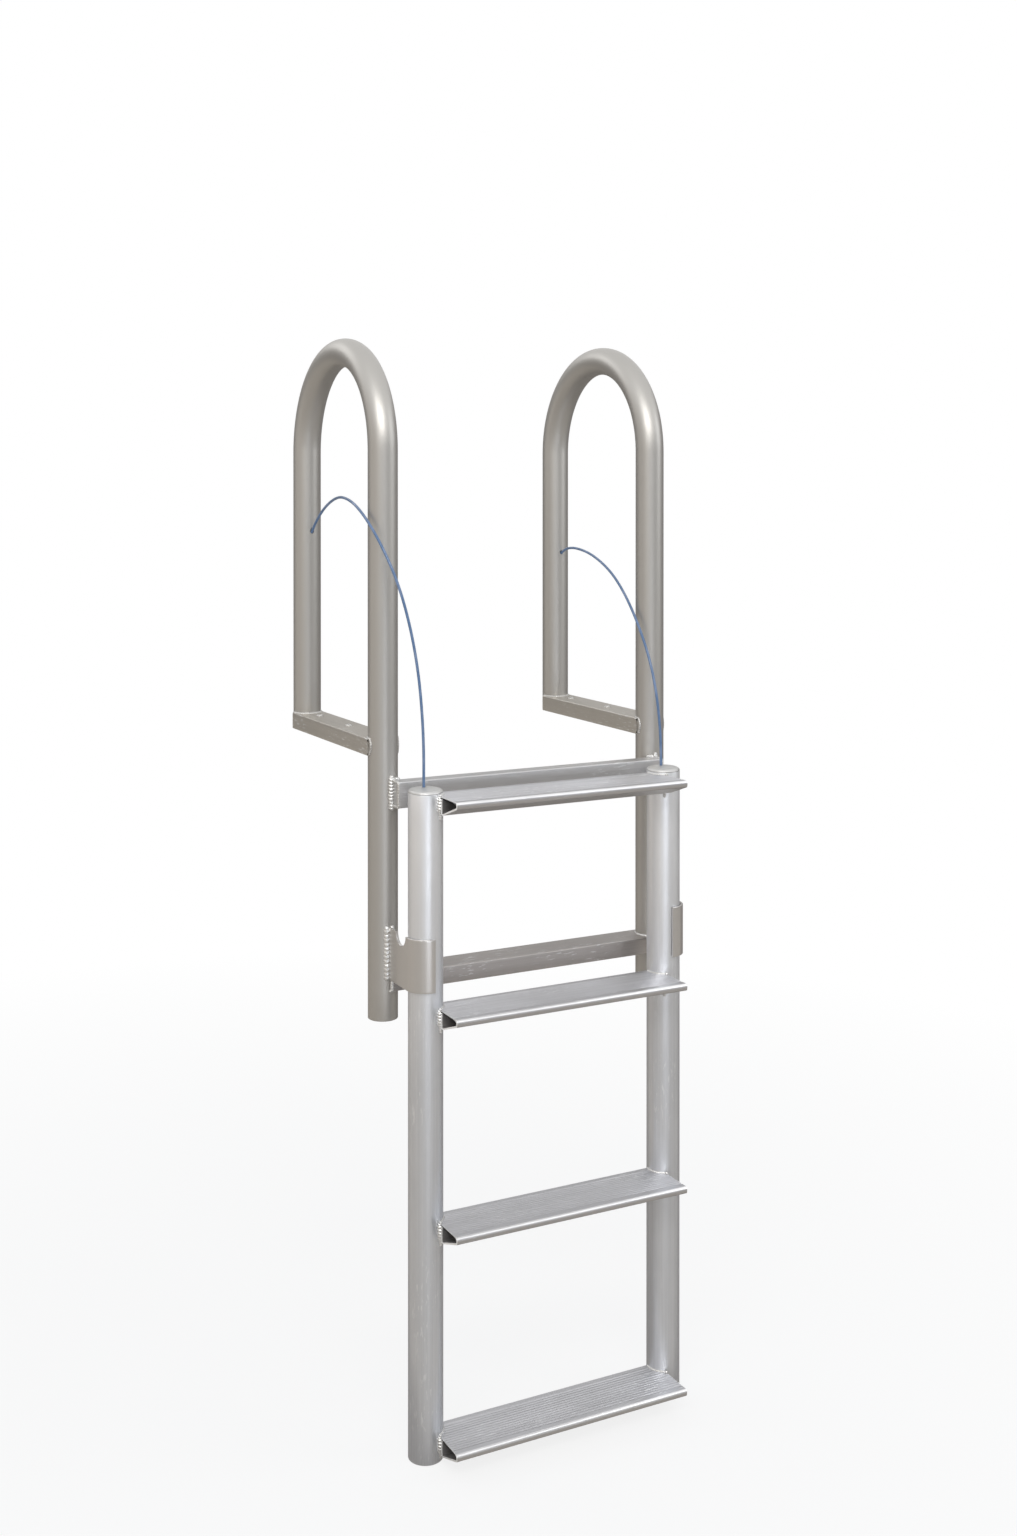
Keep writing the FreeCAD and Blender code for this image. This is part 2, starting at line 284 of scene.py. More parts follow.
# %% The mill finish group
def mill_finish_group():
    """Colour, roughness and height of drawn aluminium, from a place on the stock."""
    group = bpy.data.node_groups.new("mill_finish", "ShaderNodeTree")
    sockets = group.interface
    sockets.new_socket("Place", in_out="INPUT", socket_type="NodeSocketVector")
    sockets.new_socket("Metal", in_out="INPUT", socket_type="NodeSocketColor")
    sockets.new_socket("Tarnish", in_out="INPUT", socket_type="NodeSocketColor")
    for name, value in (("Clouds", 0.5), ("Lines", 0.5), ("Scuffs", 0.5), ("Satin", 0.35)):
        sockets.new_socket(name, in_out="INPUT", socket_type="NodeSocketFloat").default_value = value
    sockets.new_socket("Colour", in_out="OUTPUT", socket_type="NodeSocketColor")
    sockets.new_socket("Roughness", in_out="OUTPUT", socket_type="NodeSocketFloat")
    sockets.new_socket("Height", in_out="OUTPUT", socket_type="NodeSocketFloat")
    given = group.nodes.new("NodeGroupInput")
    out = group.nodes.new("NodeGroupOutput")
    place = given.outputs["Place"]

    clouds = ranged(group, noise(group, place, 22.0, 5.0, (1.0, 1.0, 0.4)), 0.34, 0.7)
    fine = ranged(group, noise(group, place, 240.0, 3.0, (1.0, 1.0, 0.3)), 0.3, 0.75)
    lines = noise(group, place, 1500.0, 2.0, (1.0, 1.0, 0.006))
    broad_lines = noise(group, place, 330.0, 2.0, (1.0, 1.0, 0.01))
    marks = ranged(group, noise(group, place, 420.0, 2.0, (1.0, 1.0, 0.16), (3.1, 1.7, 0.4)), 0.60, 0.67)
    patches = ranged(group, noise(group, place, 14.0, 2.0, (1.0, 1.0, 0.6), (0.3, 5.2, 2.1)), 0.48, 0.58)
    scuffs = worked(group, "MULTIPLY", worked(group, "MULTIPLY", marks, patches), given.outputs["Scuffs"])

    dulled = worked(group, "MULTIPLY", clouds, given.outputs["Clouds"])
    colour = mixed(group, "MIX", dulled, given.outputs["Metal"], given.outputs["Tarnish"])
    grain = ranged(group, broad_lines, 0.3, 0.7, 0.9, 1.06)
    grain_colour = add_node(group, "ShaderNodeCombineColor")
    for channel in range(3):
        group.links.new(grain, grain_colour.inputs[channel])
    colour = mixed(group, "MULTIPLY", given.outputs["Lines"], colour, grain_colour.outputs[0])
    colour = mixed(group, "MIX", scuffs, colour, (0.86, 0.87, 0.88, 1.0))
    group.links.new(colour, out.inputs["Colour"])

    rough = worked(group, "MULTIPLY_ADD", clouds, 0.10, given.outputs["Satin"])
    rough = worked(group, "MULTIPLY_ADD", fine, 0.05, rough)
    rough = worked(group, "MULTIPLY_ADD", scuffs, 0.12, rough)
    group.links.new(rough, out.inputs["Roughness"])

    height = worked(group, "MULTIPLY", lines, given.outputs["Lines"])
    height = worked(group, "MULTIPLY_ADD", fine, 0.35, height)
    height = worked(group, "MULTIPLY_ADD", scuffs, -0.6, height)
    group.links.new(height, out.inputs["Height"])
    return group


MILL_FINISH = mill_finish_group()
print("mill finish nodes:", len(MILL_FINISH.nodes))

# %% The aluminium of each sort of piece
METALLIC = 0.86
LINE_DEPTH = 0.00006


def aluminium(name, metal, tarnish, clouds, lines, scuffs, satin, cad=False):
    """A mill-finish material. A CAD node has no drawn attribute, so it reads Object coordinates."""
    material = bpy.data.materials.new(name)
    material.use_nodes = True
    tree = material.node_tree
    shader = tree.nodes["Principled BSDF"]
    shader.inputs["Metallic"].default_value = METALLIC
    finish = tree.nodes.new("ShaderNodeGroup")
    finish.node_tree = MILL_FINISH
    if cad:
        place = add_node(tree, "ShaderNodeTexCoord").outputs["Object"]
    else:
        place = add_node(tree, "ShaderNodeAttribute", attribute_name="drawn").outputs["Vector"]
    tree.links.new(place, finish.inputs["Place"])
    finish.inputs["Metal"].default_value = (*metal, 1.0)
    finish.inputs["Tarnish"].default_value = (*tarnish, 1.0)
    for key, value in (("Clouds", clouds), ("Lines", lines), ("Scuffs", scuffs), ("Satin", satin)):
        finish.inputs[key].default_value = value
    bump = add_node(tree, "ShaderNodeBump", in_Strength=1.0, in_Distance=LINE_DEPTH)
    tree.links.new(finish.outputs["Height"], bump.inputs["Height"])
    tree.links.new(finish.outputs["Colour"], shader.inputs["Base Color"])
    tree.links.new(finish.outputs["Roughness"], shader.inputs["Roughness"])
    tree.links.new(bump.outputs["Normal"], shader.inputs["Normal"])
    print(name, "reads", "Object" if cad else "drawn", "coordinates")
    return material


handrail_metal = aluminium("handrail_aluminium", (0.53, 0.515, 0.49), (0.445, 0.43, 0.405),
                           clouds=0.7, lines=0.5, scuffs=1.0, satin=0.37)
rail_metal = aluminium("rail_aluminium", (0.725, 0.74, 0.77), (0.605, 0.615, 0.635),
                       clouds=0.6, lines=0.6, scuffs=0.6, satin=0.35)
tread_metal = aluminium("tread_aluminium", (0.63, 0.63, 0.655), (0.54, 0.54, 0.555),
                        clouds=0.6, lines=0.8, scuffs=0.5, satin=0.30)
bar_metal = aluminium("bar_aluminium", (0.66, 0.655, 0.66), (0.555, 0.55, 0.55),
                      clouds=0.6, lines=0.6, scuffs=0.6, satin=0.32)
# The lower crossbar's aluminium is a darker, browner copy of the bar aluminium: painted shade.
shaded_low_bar_metal = aluminium("shaded_low_bar_aluminium", (0.52, 0.49, 0.475), (0.43, 0.405, 0.39),
                          clouds=0.6, lines=0.6, scuffs=0.6, satin=0.30)
foot_metal = aluminium("foot_aluminium", (0.60, 0.57, 0.52), (0.515, 0.485, 0.445),
                       clouds=0.6, lines=0.5, scuffs=0.6, satin=0.34)
cap_metal = aluminium("cap_aluminium", (0.66, 0.66, 0.65), (0.54, 0.53, 0.52),
                      clouds=0.6, lines=0.1, scuffs=0.7, satin=0.40)
bracket_metal = aluminium("bracket_aluminium", (0.66, 0.64, 0.62), (0.56, 0.54, 0.52),
                          clouds=0.5, lines=0.3, scuffs=0.6, satin=0.22)
bolt_metal = aluminium("bolt_steel", (0.58, 0.57, 0.55), (0.45, 0.44, 0.42),
                       clouds=0.4, lines=0.0, scuffs=0.2, satin=0.42)
weld_metal = aluminium("weld_aluminium", (0.82, 0.82, 0.81), (0.55, 0.54, 0.52),
                       clouds=0.7, lines=0.0, scuffs=0.3, satin=0.24)
dull_weld = aluminium("dull_weld_aluminium", (0.60, 0.59, 0.57), (0.46, 0.45, 0.43),
                      clouds=0.7, lines=0.0, scuffs=0.3, satin=0.34)
cad_metal = aluminium("cad_aluminium", (0.56, 0.545, 0.525), (0.47, 0.455, 0.43),
                      clouds=0.6, lines=0.2, scuffs=0.6, satin=0.34, cad=True)

# %% [markdown]
# ## Round tube
# A drawn tube has an outer wall, an inner wall and a small rounded lip at each cut end. All of
# it is one closed surface: rows follow the outer wall along the path, turn over the lip, come
# back inside and turn over the other lip, and columns go round. The path may be bent.

# %% Tube along a path
TUBE_WALL = 3.175 * MM
LIP = 0.7 * MM
AROUND = 72


def tube(name, path, length, radius, stations):
    """A hollow tube. path(s) gives centres and the direction n that a bend turns in, for lengths s.

    A point is centre(s) + r (cos t X + sin t n(s)). Down each end, s and r follow two quarter
    circles, so the lip is round outside and inside.
    """
    quarter = np.linspace(0, np.pi / 2, 5)
    inner = radius - TUBE_WALL
    middle = stations[(stations > 2 * LIP) & (stations < length - 2 * LIP)]
    outer_s = np.concatenate([[LIP], middle, [length - LIP]])
    end_s = length - LIP + LIP * np.concatenate([np.sin(quarter), np.cos(quarter)])
    end_r = np.concatenate([radius - LIP + LIP * np.cos(quarter), inner + LIP - LIP * np.sin(quarter)])
    start_s = length - end_s
    s = np.concatenate([outer_s, end_s, outer_s[::-1], start_s[::-1]])
    r = np.concatenate([np.full(len(outer_s), radius), end_r, np.full(len(outer_s), inner), end_r[::-1]])
    keep = np.concatenate([[True], np.hypot(np.diff(s), np.diff(r)) > 1e-7])
    s, r = s[keep], r[keep]
    centre, across = path(s)
    turn = turns(AROUND)
    ring = circles(np.broadcast_to([1.0, 0.0, 0.0], across.shape), across, turn)
    points = centre[:, None, :] + r[:, None, None] * ring
    drawn = np.stack([
        r[:, None] * np.cos(turn) + centre[:, :1],
        r[:, None] * np.sin(turn) + 0 * centre[:, :1],
        np.repeat(s[:, None], AROUND, 1),
    ], axis=-1)
    return new_piece(name, points, grid_faces(len(s), AROUND, True).tolist(), drawn)


# %% [markdown]
# ### Where the cords run
# A blue cord leaves a hole in each rear leg, arches forward and ends in the cap of the rail
# below. Its route is needed now, because the first two points say where the hole is drilled and
# which way. These are the CAD routes' points, in millimetres.

# %% Cord routes
ROUTES = {
    "left": [
        (0.0, 105.8, 307.2), (0.0, 86.0, 327.0), (-1.2, 64.0, 342.0), (-3.7, 32.0, 358.0),
        (-8.5, -10.0, 370.5), (-15.5, -57.0, 377.5), (-23.5, -102.0, 377.0), (-29.5, -148.0, 370.5),
        (-31.5, -188.0, 355.5), (-28.5, -222.0, 331.0), (-20.5, -246.0, 299.0), (-10.5, -260.5, 264.0),
        (-0.5, -268.5, 226.0), (10.5, -273.5, 175.0), (19.5, -274.5, 120.0), (25.7, -272.5, 63.0),
        (28.8, -270.0, 18.0), (29.375, -269.0, -18.0), (29.375, -269.0, -65.3),
    ],
    "right": [
        (463.55, 106.4, 268.0), (463.55, 88.0, 278.5), (462.0, 65.0, 285.0), (459.8, 32.0, 285.5),
        (455.8, -15.0, 279.5), (450.8, -62.0, 267.0), (445.2, -108.0, 249.0), (438.8, -150.0, 225.0),
        (433.6, -186.0, 197.0), (431.2, -216.0, 164.0), (431.2, -240.0, 126.0), (432.2, -256.0, 83.0),
        (433.4, -265.0, 37.0), (434.175, -269.0, -10.0), (434.175, -269.0, -65.3),
    ],
}
print("route points:", {side: len(route) for side, route in ROUTES.items()})

# %% [markdown]
# ### Handrails
# Each handrail is one length of tube: up from the foot bar, half a circle over, and down past
# the deck to a plain cut end. The sizes are read from the CAD node's box. A drill goes through
# the rear leg where the cord leaves it, cut with a boolean as the real hole is.

# %% A drill
def rod(start, end, radius, sides=48):
    """A plain closed rod: start or end + radius (cos t first + sin t second), square to its axis."""
    start, end = np.array(start), np.array(end)
    along = unit(end - start)
    first = unit(np.cross(along, [0.3, 0.8, 0.5]))
    second = np.cross(along, first)
    ring = radius * circles(first[None], second[None], turns(sides))[0]
    points = np.stack([start + ring, end + ring])
    return new_piece("drill_rod", points, flat_ended(2, sides), points)


def drill(piece, start, end, radius):
    """Cuts a round hole in a piece with a boolean, and throws the drill away."""
    cutter = rod(start, end, radius)
    cut = piece.modifiers.new("drill", "BOOLEAN")
    cut.operation = "DIFFERENCE"
    cut.solver = "EXACT"
    cut.object = cutter
    bpy.context.view_layer.update()
    shaped = bpy.data.meshes.new_from_object(piece.evaluated_get(bpy.context.evaluated_depsgraph_get()))
    piece.modifiers.clear()
    piece.data = shaped
    bpy.data.objects.remove(cutter)


# %% Handrails and their cord holes
HOLE_R = 3.1 * MM


def handrail(side):
    """A bent tube with a cord hole: up the rear leg, over the bend and down the front leg."""
    name = side + "_handrail"
    low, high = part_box(name)
    radius = (high.x - low.x) / 2
    x = (low.x + high.x) / 2
    front_y, rear_y = low.y + radius, high.y - radius
    bend = (rear_y - front_y) / 2
    over = np.pi * bend
    rear_run = high.z - radius - bend
    front_run = rear_run - low.z
    length = rear_run + over + front_run

    def path(s):
        """Straight up, a half circle, straight down: the angle goes from 0 to half a turn on the bend."""
        angle = np.clip((s - rear_run) / bend, 0, np.pi)
        rise = np.minimum(s, rear_run) - np.clip(s - rear_run - over, 0, None)
        y = (front_y + rear_y) / 2 + bend * np.cos(angle)
        z = rise + bend * np.sin(angle)
        centre = np.stack([np.full_like(s, x), y, z], axis=-1)
        across = np.stack([np.zeros_like(s), np.cos(angle), np.sin(angle)], axis=-1)
        return centre, across

    stations = np.concatenate([
        np.linspace(0, rear_run, 12)[:-1],
        rear_run + np.linspace(0, over, 73),
        np.linspace(rear_run + over, length, 20)[1:],
    ])
    piece = tube(name + "_tube", path, length, radius, stations)
    start, second = np.array(ROUTES[side][:2]) * MM
    drill(piece, start, second, HOLE_R)
    piece.data.set_sharp_from_angle(angle=math.radians(SHARP_DEGREES))
    settle(piece, "frame", "handrail_tube", handrail_metal, name)
    print(name, "tube length", round(length, 3), "m")


handrail("left")
handrail("right")

# %% [markdown]
# ### Ladder rails
# Two straight tubes carry the treads. They slide in their brackets whenever the ladder is
# lifted. Their upper halves are painted brighter in patches: a painted highlight. Painting that
# by hand would work, but the third number of "drawn" is already the height up the tube, and the
# material fades by it.

# %% Rails with a painted highlight
def opened(material):
    """A finished material's tree, its shader, the stock's own place and the place's third number."""
    tree = material.node_tree
    place = next(node for node in tree.nodes if node.bl_idname == "ShaderNodeAttribute").outputs["Vector"]
    return tree, tree.nodes["Principled BSDF"], place, numbers(tree, place)[2]


def paint_rail_highlight(material, low, high):
    """Paints a highlight on a rail: brighter from `low` to `high` along it, in patches."""
    tree, shader, place, along = opened(material)
    patchy = ranged(tree, noise(tree, place, 40.0, 3.0, (1.0, 1.0, 0.2)), 0.3, 0.65, 0.75, 1.0)
    share = worked(tree, "MULTIPLY", ranged(tree, along, low, high), patchy)
    plain = shader.inputs["Base Color"].links[0].from_socket
    # The near-white colour is a painted highlight.
    colour = mixed(tree, "MIX", share, plain, (0.92, 0.93, 0.95, 1.0))
    tree.links.new(colour, shader.inputs["Base Color"])


rail_low, rail_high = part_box("left_rail")
rail_run = rail_high.z - rail_low.z
# The rails' upper halves get a painted highlight, brighter towards the top.
paint_rail_highlight(rail_metal, 0.55 * rail_run, 0.95 * rail_run)
print("rubbed from", round(0.55 * rail_run, 3), "to", round(0.95 * rail_run, 3), "m up the rails")

# %% Ladder rails
RAIL_R = (rail_high.x - rail_low.x) / 2
RAIL_Y = (rail_low.y + rail_high.y) / 2
RAIL_X = {}
for side in ("left", "right"):
    low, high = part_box(side + "_rail")
    RAIL_X[side] = (low.x + high.x) / 2
    rail_foot = np.array([RAIL_X[side], (low.y + high.y) / 2, low.z])

    def upright(s, foot=rail_foot):
        """A straight path upwards: foot + s Z."""
        centre = foot + s[:, None] * np.array([0.0, 0.0, 1.0])
        return centre, np.tile([0.0, 1.0, 0.0], (len(s), 1))

    length = high.z - low.z
    piece = tube(side + "_rail_tube", upright, length, (high.x - low.x) / 2, np.linspace(0, length, 30))
    settle(piece, "ladder", "rail_tube", rail_metal, side + "_rail")

# %% [markdown]
# ## Extruded bars and treads
# Crossbars, foot bars and treads are extrusions: one outline, the same all along. Here the
# outline is a list of corners with a radius each, sampled closely, and every point of it gets
# its own start and end, so an end can be coped round a tube as a saw and a file would do it.

# %% Outline of an extrusion
def outline(corners, step=2.0 * MM, bend_points=5):
    """A closed outline through corners (a, b, radius), with arcs at the corners.

    Each arc touches both edges at radius * tan(half the turn) from the corner, and its points
    are that corner's centre plus radius times (cos, sin) of an angle that runs between the edges.
    """
    corners = np.array(corners, float)
    here, radius = corners[:, :2], corners[:, 2]
    into = unit(here - np.roll(here, 1, 0))
    out = np.roll(into, -1, 0)
    cross = into[:, 0] * out[:, 1] - into[:, 1] * out[:, 0]
    turn = np.arctan2(cross, (into * out).sum(1))
    inward = np.stack([-into[:, 1], into[:, 0]], 1) * np.sign(turn)[:, None]
    first = here - into * (radius * np.tan(np.abs(turn) / 2))[:, None]
    angle = turn[:, None] * np.linspace(0, 1, bend_points)
    away = -inward[:, None, :]
    spun = np.stack([
        away[..., 0] * np.cos(angle) - away[..., 1] * np.sin(angle),
        away[..., 0] * np.sin(angle) + away[..., 1] * np.cos(angle),
    ], axis=-1)
    arcs = (first + inward * radius[:, None])[:, None, :] + radius[:, None, None] * spun
    pieces = []
    for arc, following in zip(arcs, np.roll(arcs, -1, 0)):
        gap = np.linalg.norm(following[0] - arc[-1])
        between = np.linspace(0, 1, max(2, int(gap / step) + 1))[1:-1, None]
        pieces += [arc, arc[-1] + between * (following[0] - arc[-1])]
    points = np.concatenate(pieces)
    apart = np.linalg.norm(points - np.roll(points, 1, 0), axis=1) > 1e-7
    return points[apart]


def rectangle(a0, b0, a1, b1, radius):
    """The outline of a rectangle with rounded corners."""
    return outline([(a0, b0, radius), (a1, b0, radius), (a1, b1, radius), (a0, b1, radius)])


# %% An extrusion from its outlines
FILED = 0.35 * MM


def extrusion(name, loops, starts, ends, place, edge=FILED):
    """Sweeps outlines straight from starts(points) to ends(points). The first outline is the outside.

    place(points, distance) turns an outline point and a distance along the bar into X, Y, Z.
    The two ends are filled between the outside and the hollows with triangles.
    """
    rows, drawn, faces, near, far, total = [], [], [], [], [], 0
    for loop in loops:
        count = len(loop)
        low_end, high_end = starts(loop), ends(loop)
        rows += [place(loop, low_end), place(loop, high_end)]
        drawn += [np.column_stack([loop, low_end]), np.column_stack([loop, high_end])]
        faces += (grid_faces(2, count, False) + total).tolist()
        near.append(total + np.arange(count))
        far.append(total + count + np.arange(count))
        total += 2 * count
    caps = np.array(tessellate_polygon([[Vector((a, b, 0.0)) for a, b in loop] for loop in loops]))
    faces += np.concatenate(near)[caps].tolist() + np.concatenate(far)[caps][:, ::-1].tolist()
    piece = new_piece(name, np.concatenate(rows), faces, np.concatenate(drawn), ALL_SMOOTH)
    merged = bmesh.new()
    merged.from_mesh(piece.data)
    bmesh.ops.remove_doubles(merged, verts=merged.verts, dist=1e-7)
    bmesh.ops.recalc_face_normals(merged, faces=merged.faces)
    merged.to_mesh(piece.data)
    merged.free()
    if edge:
        soften(piece, edge)
    return piece


def soften(piece, width):
    """Rounds a piece's sharp edges, as a file takes the burr off."""
    bevel = piece.modifiers.new("filed_edges", "BEVEL")
    bevel.width = width
    bevel.segments = 2
    bevel.limit_method = "ANGLE"
    bevel.angle_limit = math.radians(SHARP_DEGREES)
    bevel.harden_normals = True


def along_x(points, x):
    """An outline in Y and Z, placed at distances x."""
    return np.column_stack([x, points])


def along_y(points, y):
    """An outline in X and Z, placed at distances y."""
    return np.column_stack([points[:, 0], y, points[:, 1]])


# %% [markdown]
# ### Crossbars
# Two bars tie the front legs together. The upper one crosses in front of them with square sawn
# ends. The lower one lies flat between them, and its ends are coped: cut to the legs' curve, so
# that they close on them. A scaled cube would do for the first, but not for the second.

# %% Crossbars
left_low, left_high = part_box("left_handrail")
right_low, right_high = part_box("right_handrail")
POST_R = (left_high.x - left_low.x) / 2
POST_X = {"left": (left_low.x + left_high.x) / 2, "right": (right_low.x + right_high.x) / 2}
POST_Y = left_low.y + POST_R
REAR_Y = left_high.y - POST_R
BAR_CORNER = 1.6 * MM


def coped(points, plain_x, tube_x, tube_y, radius, way):
    """Where an end meets an upright tube: on the tube's circle, or at the plain cut outside it.

    On the circle x = tube_x + way * sqrt(r^2 - dy^2). `way` is 1 at a left end and -1 at a right one.
    """
    dy = points[:, 0] - tube_y
    on_circle = np.sqrt(np.clip(radius ** 2 - dy ** 2, 0, None))
    return way * np.maximum(way * plain_x, way * tube_x + on_circle)


low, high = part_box("upper_crossbar")
piece = extrusion(
    "upper_crossbar_bar", [rectangle(low.y, low.z, high.y, high.z, BAR_CORNER)],
    lambda points: np.full(len(points), low.x),
    lambda points: np.full(len(points), high.x), along_x)
settle(piece, "frame", "frame_bar", bar_metal, "upper_crossbar")

low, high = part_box("lower_crossbar")
piece = extrusion(
    "lower_crossbar_bar", [rectangle(low.y, low.z, high.y, high.z, BAR_CORNER)],
    lambda points: coped(points, low.x, POST_X["left"], POST_Y, POST_R, 1),
    lambda points: coped(points, high.x, POST_X["right"], POST_Y, POST_R, -1), along_x)
# The lower crossbar takes the darker copy of the bar aluminium, painted shade.
settle(piece, "frame", "frame_bar", shaded_low_bar_metal, "lower_crossbar")

# %% [markdown]
# ### Foot bars
# A flat tube joins the two legs of each hoop, with its ends notched round them. It keeps its
# hollow and its two bolt holes, which are drilled through both walls.

# %% Foot bars
BOLT_HOLE_R = 4.4 * MM
BOLT_Y = 60.0 * MM
DRILL_REACH = 5.0 * MM


def notched(points, middle_x, leg_y, way):
    """A notched end: on the leg's circle where the leg is, and at the leg's axis on the flanks beyond."""
    dx = points[:, 0] - middle_x
    return leg_y + way * np.sqrt(np.clip(POST_R ** 2 - dx ** 2, 0, None))


for side in ("left", "right"):
    low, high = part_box(side + "_foot_bar")
    middle_x = (low.x + high.x) / 2
    piece = extrusion(
        side + "_foot_bar_tube",
        [rectangle(low.x, low.z, high.x, high.z, BAR_CORNER),
         rectangle(low.x + TUBE_WALL, low.z + TUBE_WALL, high.x - TUBE_WALL, high.z - TUBE_WALL, 0.8 * MM)],
        lambda points: notched(points, middle_x, POST_Y, 1),
        lambda points: notched(points, middle_x, REAR_Y, -1), along_y, edge=0)
    for y in (-BOLT_Y, BOLT_Y):
        drill(piece, (middle_x, y, low.z - DRILL_REACH), (middle_x, y, high.z + DRILL_REACH), BOLT_HOLE_R)
    soften(piece, FILED)
    settle(piece, "frame", "frame_bar", foot_metal, side + "_foot_bar")

# %% [markdown]
# ### Treads
# A tread is a thin-walled extrusion: a flat plate with fine ribs along it, a half-round nose, and
# a face that slopes back from the nose to a web under the plate. The nose, the slope and the web
# close a three-sided tube. It is open at both ends, and dark inside.

# %% Outline of a tread
PLATE, TIP, SKIN, WEB, NOSE_WALL = 2.4 * MM, 5.0 * MM, 2.2 * MM, 3.0 * MM, 2.6 * MM
NOSE_H = PLATE + TIP + SKIN
BOX_FRONT, BOX_FOOT = 37.0 * MM, 6.0 * MM
RIBS, RIB_PITCH, RIB_START, RIB_DEPTH = 12, 5.6 * MM, 9.0 * MM, 0.7 * MM


def tread_outlines(low, high):
    """The outside and the hollow of a tread, as (y, z). The top dips between ribs as sin(u)^2 along it."""
    nose_r = NOSE_H / 2
    box_y = RAIL_Y - BOX_FRONT
    web_y = box_y + BOX_FOOT
    under = high.z - PLATE
    outside = outline([
        (high.y, high.z, 0.5 * MM), (high.y, under, 0.4 * MM), (web_y, under, 1.2 * MM),
        (web_y, low.z, 1.0 * MM), (box_y, low.z, 1.6 * MM),
        (low.y + 0.7 * MM, high.z - NOSE_H, nose_r * 0.86), (low.y, high.z, nose_r * 0.82),
    ], step=0.55 * MM, bend_points=11)
    top = outside[:, 1] > high.z - 0.01 * MM
    from_back = high.y - outside[:, 0] - RIB_START
    ribbed = top & (from_back > 0) & (from_back < RIBS * RIB_PITCH)
    outside[:, 1] -= np.where(ribbed, RIB_DEPTH * np.sin(np.pi * from_back / RIB_PITCH) ** 2, 0.0)
    front_y = low.y + NOSE_WALL
    hollow = outline([
        (web_y - WEB, under, 1.0 * MM), (web_y - WEB, low.z + SKIN, 0.8 * MM),
        (box_y, low.z + SKIN, 1.2 * MM), (front_y, under - TIP, 2.3 * MM), (front_y, under, 2.3 * MM),
    ], step=1.5 * MM, bend_points=9)
    return [outside, hollow]


# %% [markdown]
# ### Where a tread is worn, and where light and shade are painted on it
# A tread's nose is painted bright, for the polish of feet and as a painted highlight. Its underside
# is painted a darker grey, as painted shade under the plate, and the saw leaves its ends bright. The
# first two depend on the tread's section, so they are worked out for each point and kept in a point
# attribute of their own. The ends are found by "drawn", as on the rails.

# %% Worn nose with a painted highlight, painted shade underneath, and cut ends
def mark_worn_highlight_and_shade(piece, low, high):
    """Keeps two masks on each point, as the first two numbers of a point attribute: the nose, for
    the polish of feet and a painted highlight, and the underside, for painted shade.

    Each mask rises from 0 to 1 over a short distance: the nose with nearness to the front and the
    top, the painted shade with depth under the plate.
    """
    _, y, z = places(piece.data).T
    # The nose mask marks both the polish of feet and a painted highlight.
    front = np.clip((low.y + 5.6 * MM - y) / (3.0 * MM), 0, 1)
    upper = np.clip((z - high.z + 4.0 * MM) / (1.6 * MM), 0, 1)
    # Painted shade: the underside grows darker with depth under the plate.
    shaded_under = np.clip((high.z - 4.0 * MM - z) / (1.8 * MM), 0, 1)
    layer = piece.data.attributes.new("worn_highlight_and_shade", "FLOAT_VECTOR", "POINT")
    masks = np.stack([front * upper, shaded_under, 0 * y], axis=-1)
    layer.data.foreach_set("vector", masks.astype(np.float32).ravel())


def paint_worn_highlight_shade_and_cut(material, left_x, right_x):
    """Paints a highlight on a tread's worn nose, brightens its sawn ends, and paints shade underneath.

    The cut ends are found by the third number of the stock's own place, which runs from end to end.
    """
    tree, shader, place, along = opened(material)
    worn_highlight_and_shade = numbers(tree, add_node(tree, "ShaderNodeAttribute", attribute_name="worn_highlight_and_shade").outputs["Vector"])
    patchy = ranged(tree, noise(tree, place, 90.0, 3.0, (1.0, 1.0, 0.2)), 0.25, 0.6, 0.6, 1.0)
    # The nose's brightening is both the polish of feet and a painted highlight; the darker underside is
    # painted shade.
    nose = worked(tree, "MULTIPLY", worn_highlight_and_shade[0], patchy)
    painted_shade = worked(tree, "MULTIPLY", worn_highlight_and_shade[1], 0.6)
    cut = worked(tree, "MAXIMUM",
                 ranged(tree, along, left_x + 0.25 * MM, left_x + 0.5 * MM, 1.0, 0.0),
                 ranged(tree, along, right_x - 0.5 * MM, right_x - 0.25 * MM, 0.0, 1.0))
    colour = shader.inputs["Base Color"].links[0].from_socket
    # Grey-brown is painted shade under the plate; near-white on the nose is a painted highlight and polish.
    for share, tint in ((painted_shade, (0.47, 0.445, 0.42, 1.0)), (nose, (0.95, 0.95, 0.955, 1.0)),
                        (cut, (0.95, 0.95, 0.94, 1.0))):
        colour = mixed(tree, "MIX", share, colour, tint)
    tree.links.new(colour, shader.inputs["Base Color"])
    rough = shader.inputs["Roughness"].links[0].from_socket
    rough = worked(tree, "MULTIPLY_ADD", nose, -0.04, rough)
    rough = worked(tree, "MULTIPLY_ADD", cut, 0.2, rough)
    tree.links.new(rough, shader.inputs["Roughness"])


low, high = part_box("tread_1")
paint_worn_highlight_shade_and_cut(tread_metal, low.x, high.x)
print("treads run from", round(low.x, 4), "to", round(high.x, 4), "m")

# %% Treads
def tread(number):
    """A tread between the rails, each end on its rail's circle or at the plain cut in front of it."""
    name = "tread_%d" % number
    low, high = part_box(name)
    piece = extrusion(
        name + "_extrusion", tread_outlines(low, high),
        lambda points: coped(points, low.x, RAIL_X["left"], RAIL_Y, RAIL_R, 1),
        lambda points: coped(points, high.x, RAIL_X["right"], RAIL_Y, RAIL_R, -1), along_x, edge=0.3 * MM)
    mark_worn_highlight_and_shade(piece, low, high)
    settle(piece, "ladder", "tread_extrusion", tread_metal, name)


TREADS = (1, 2, 3, 4)
for number in TREADS:
    tread(number)

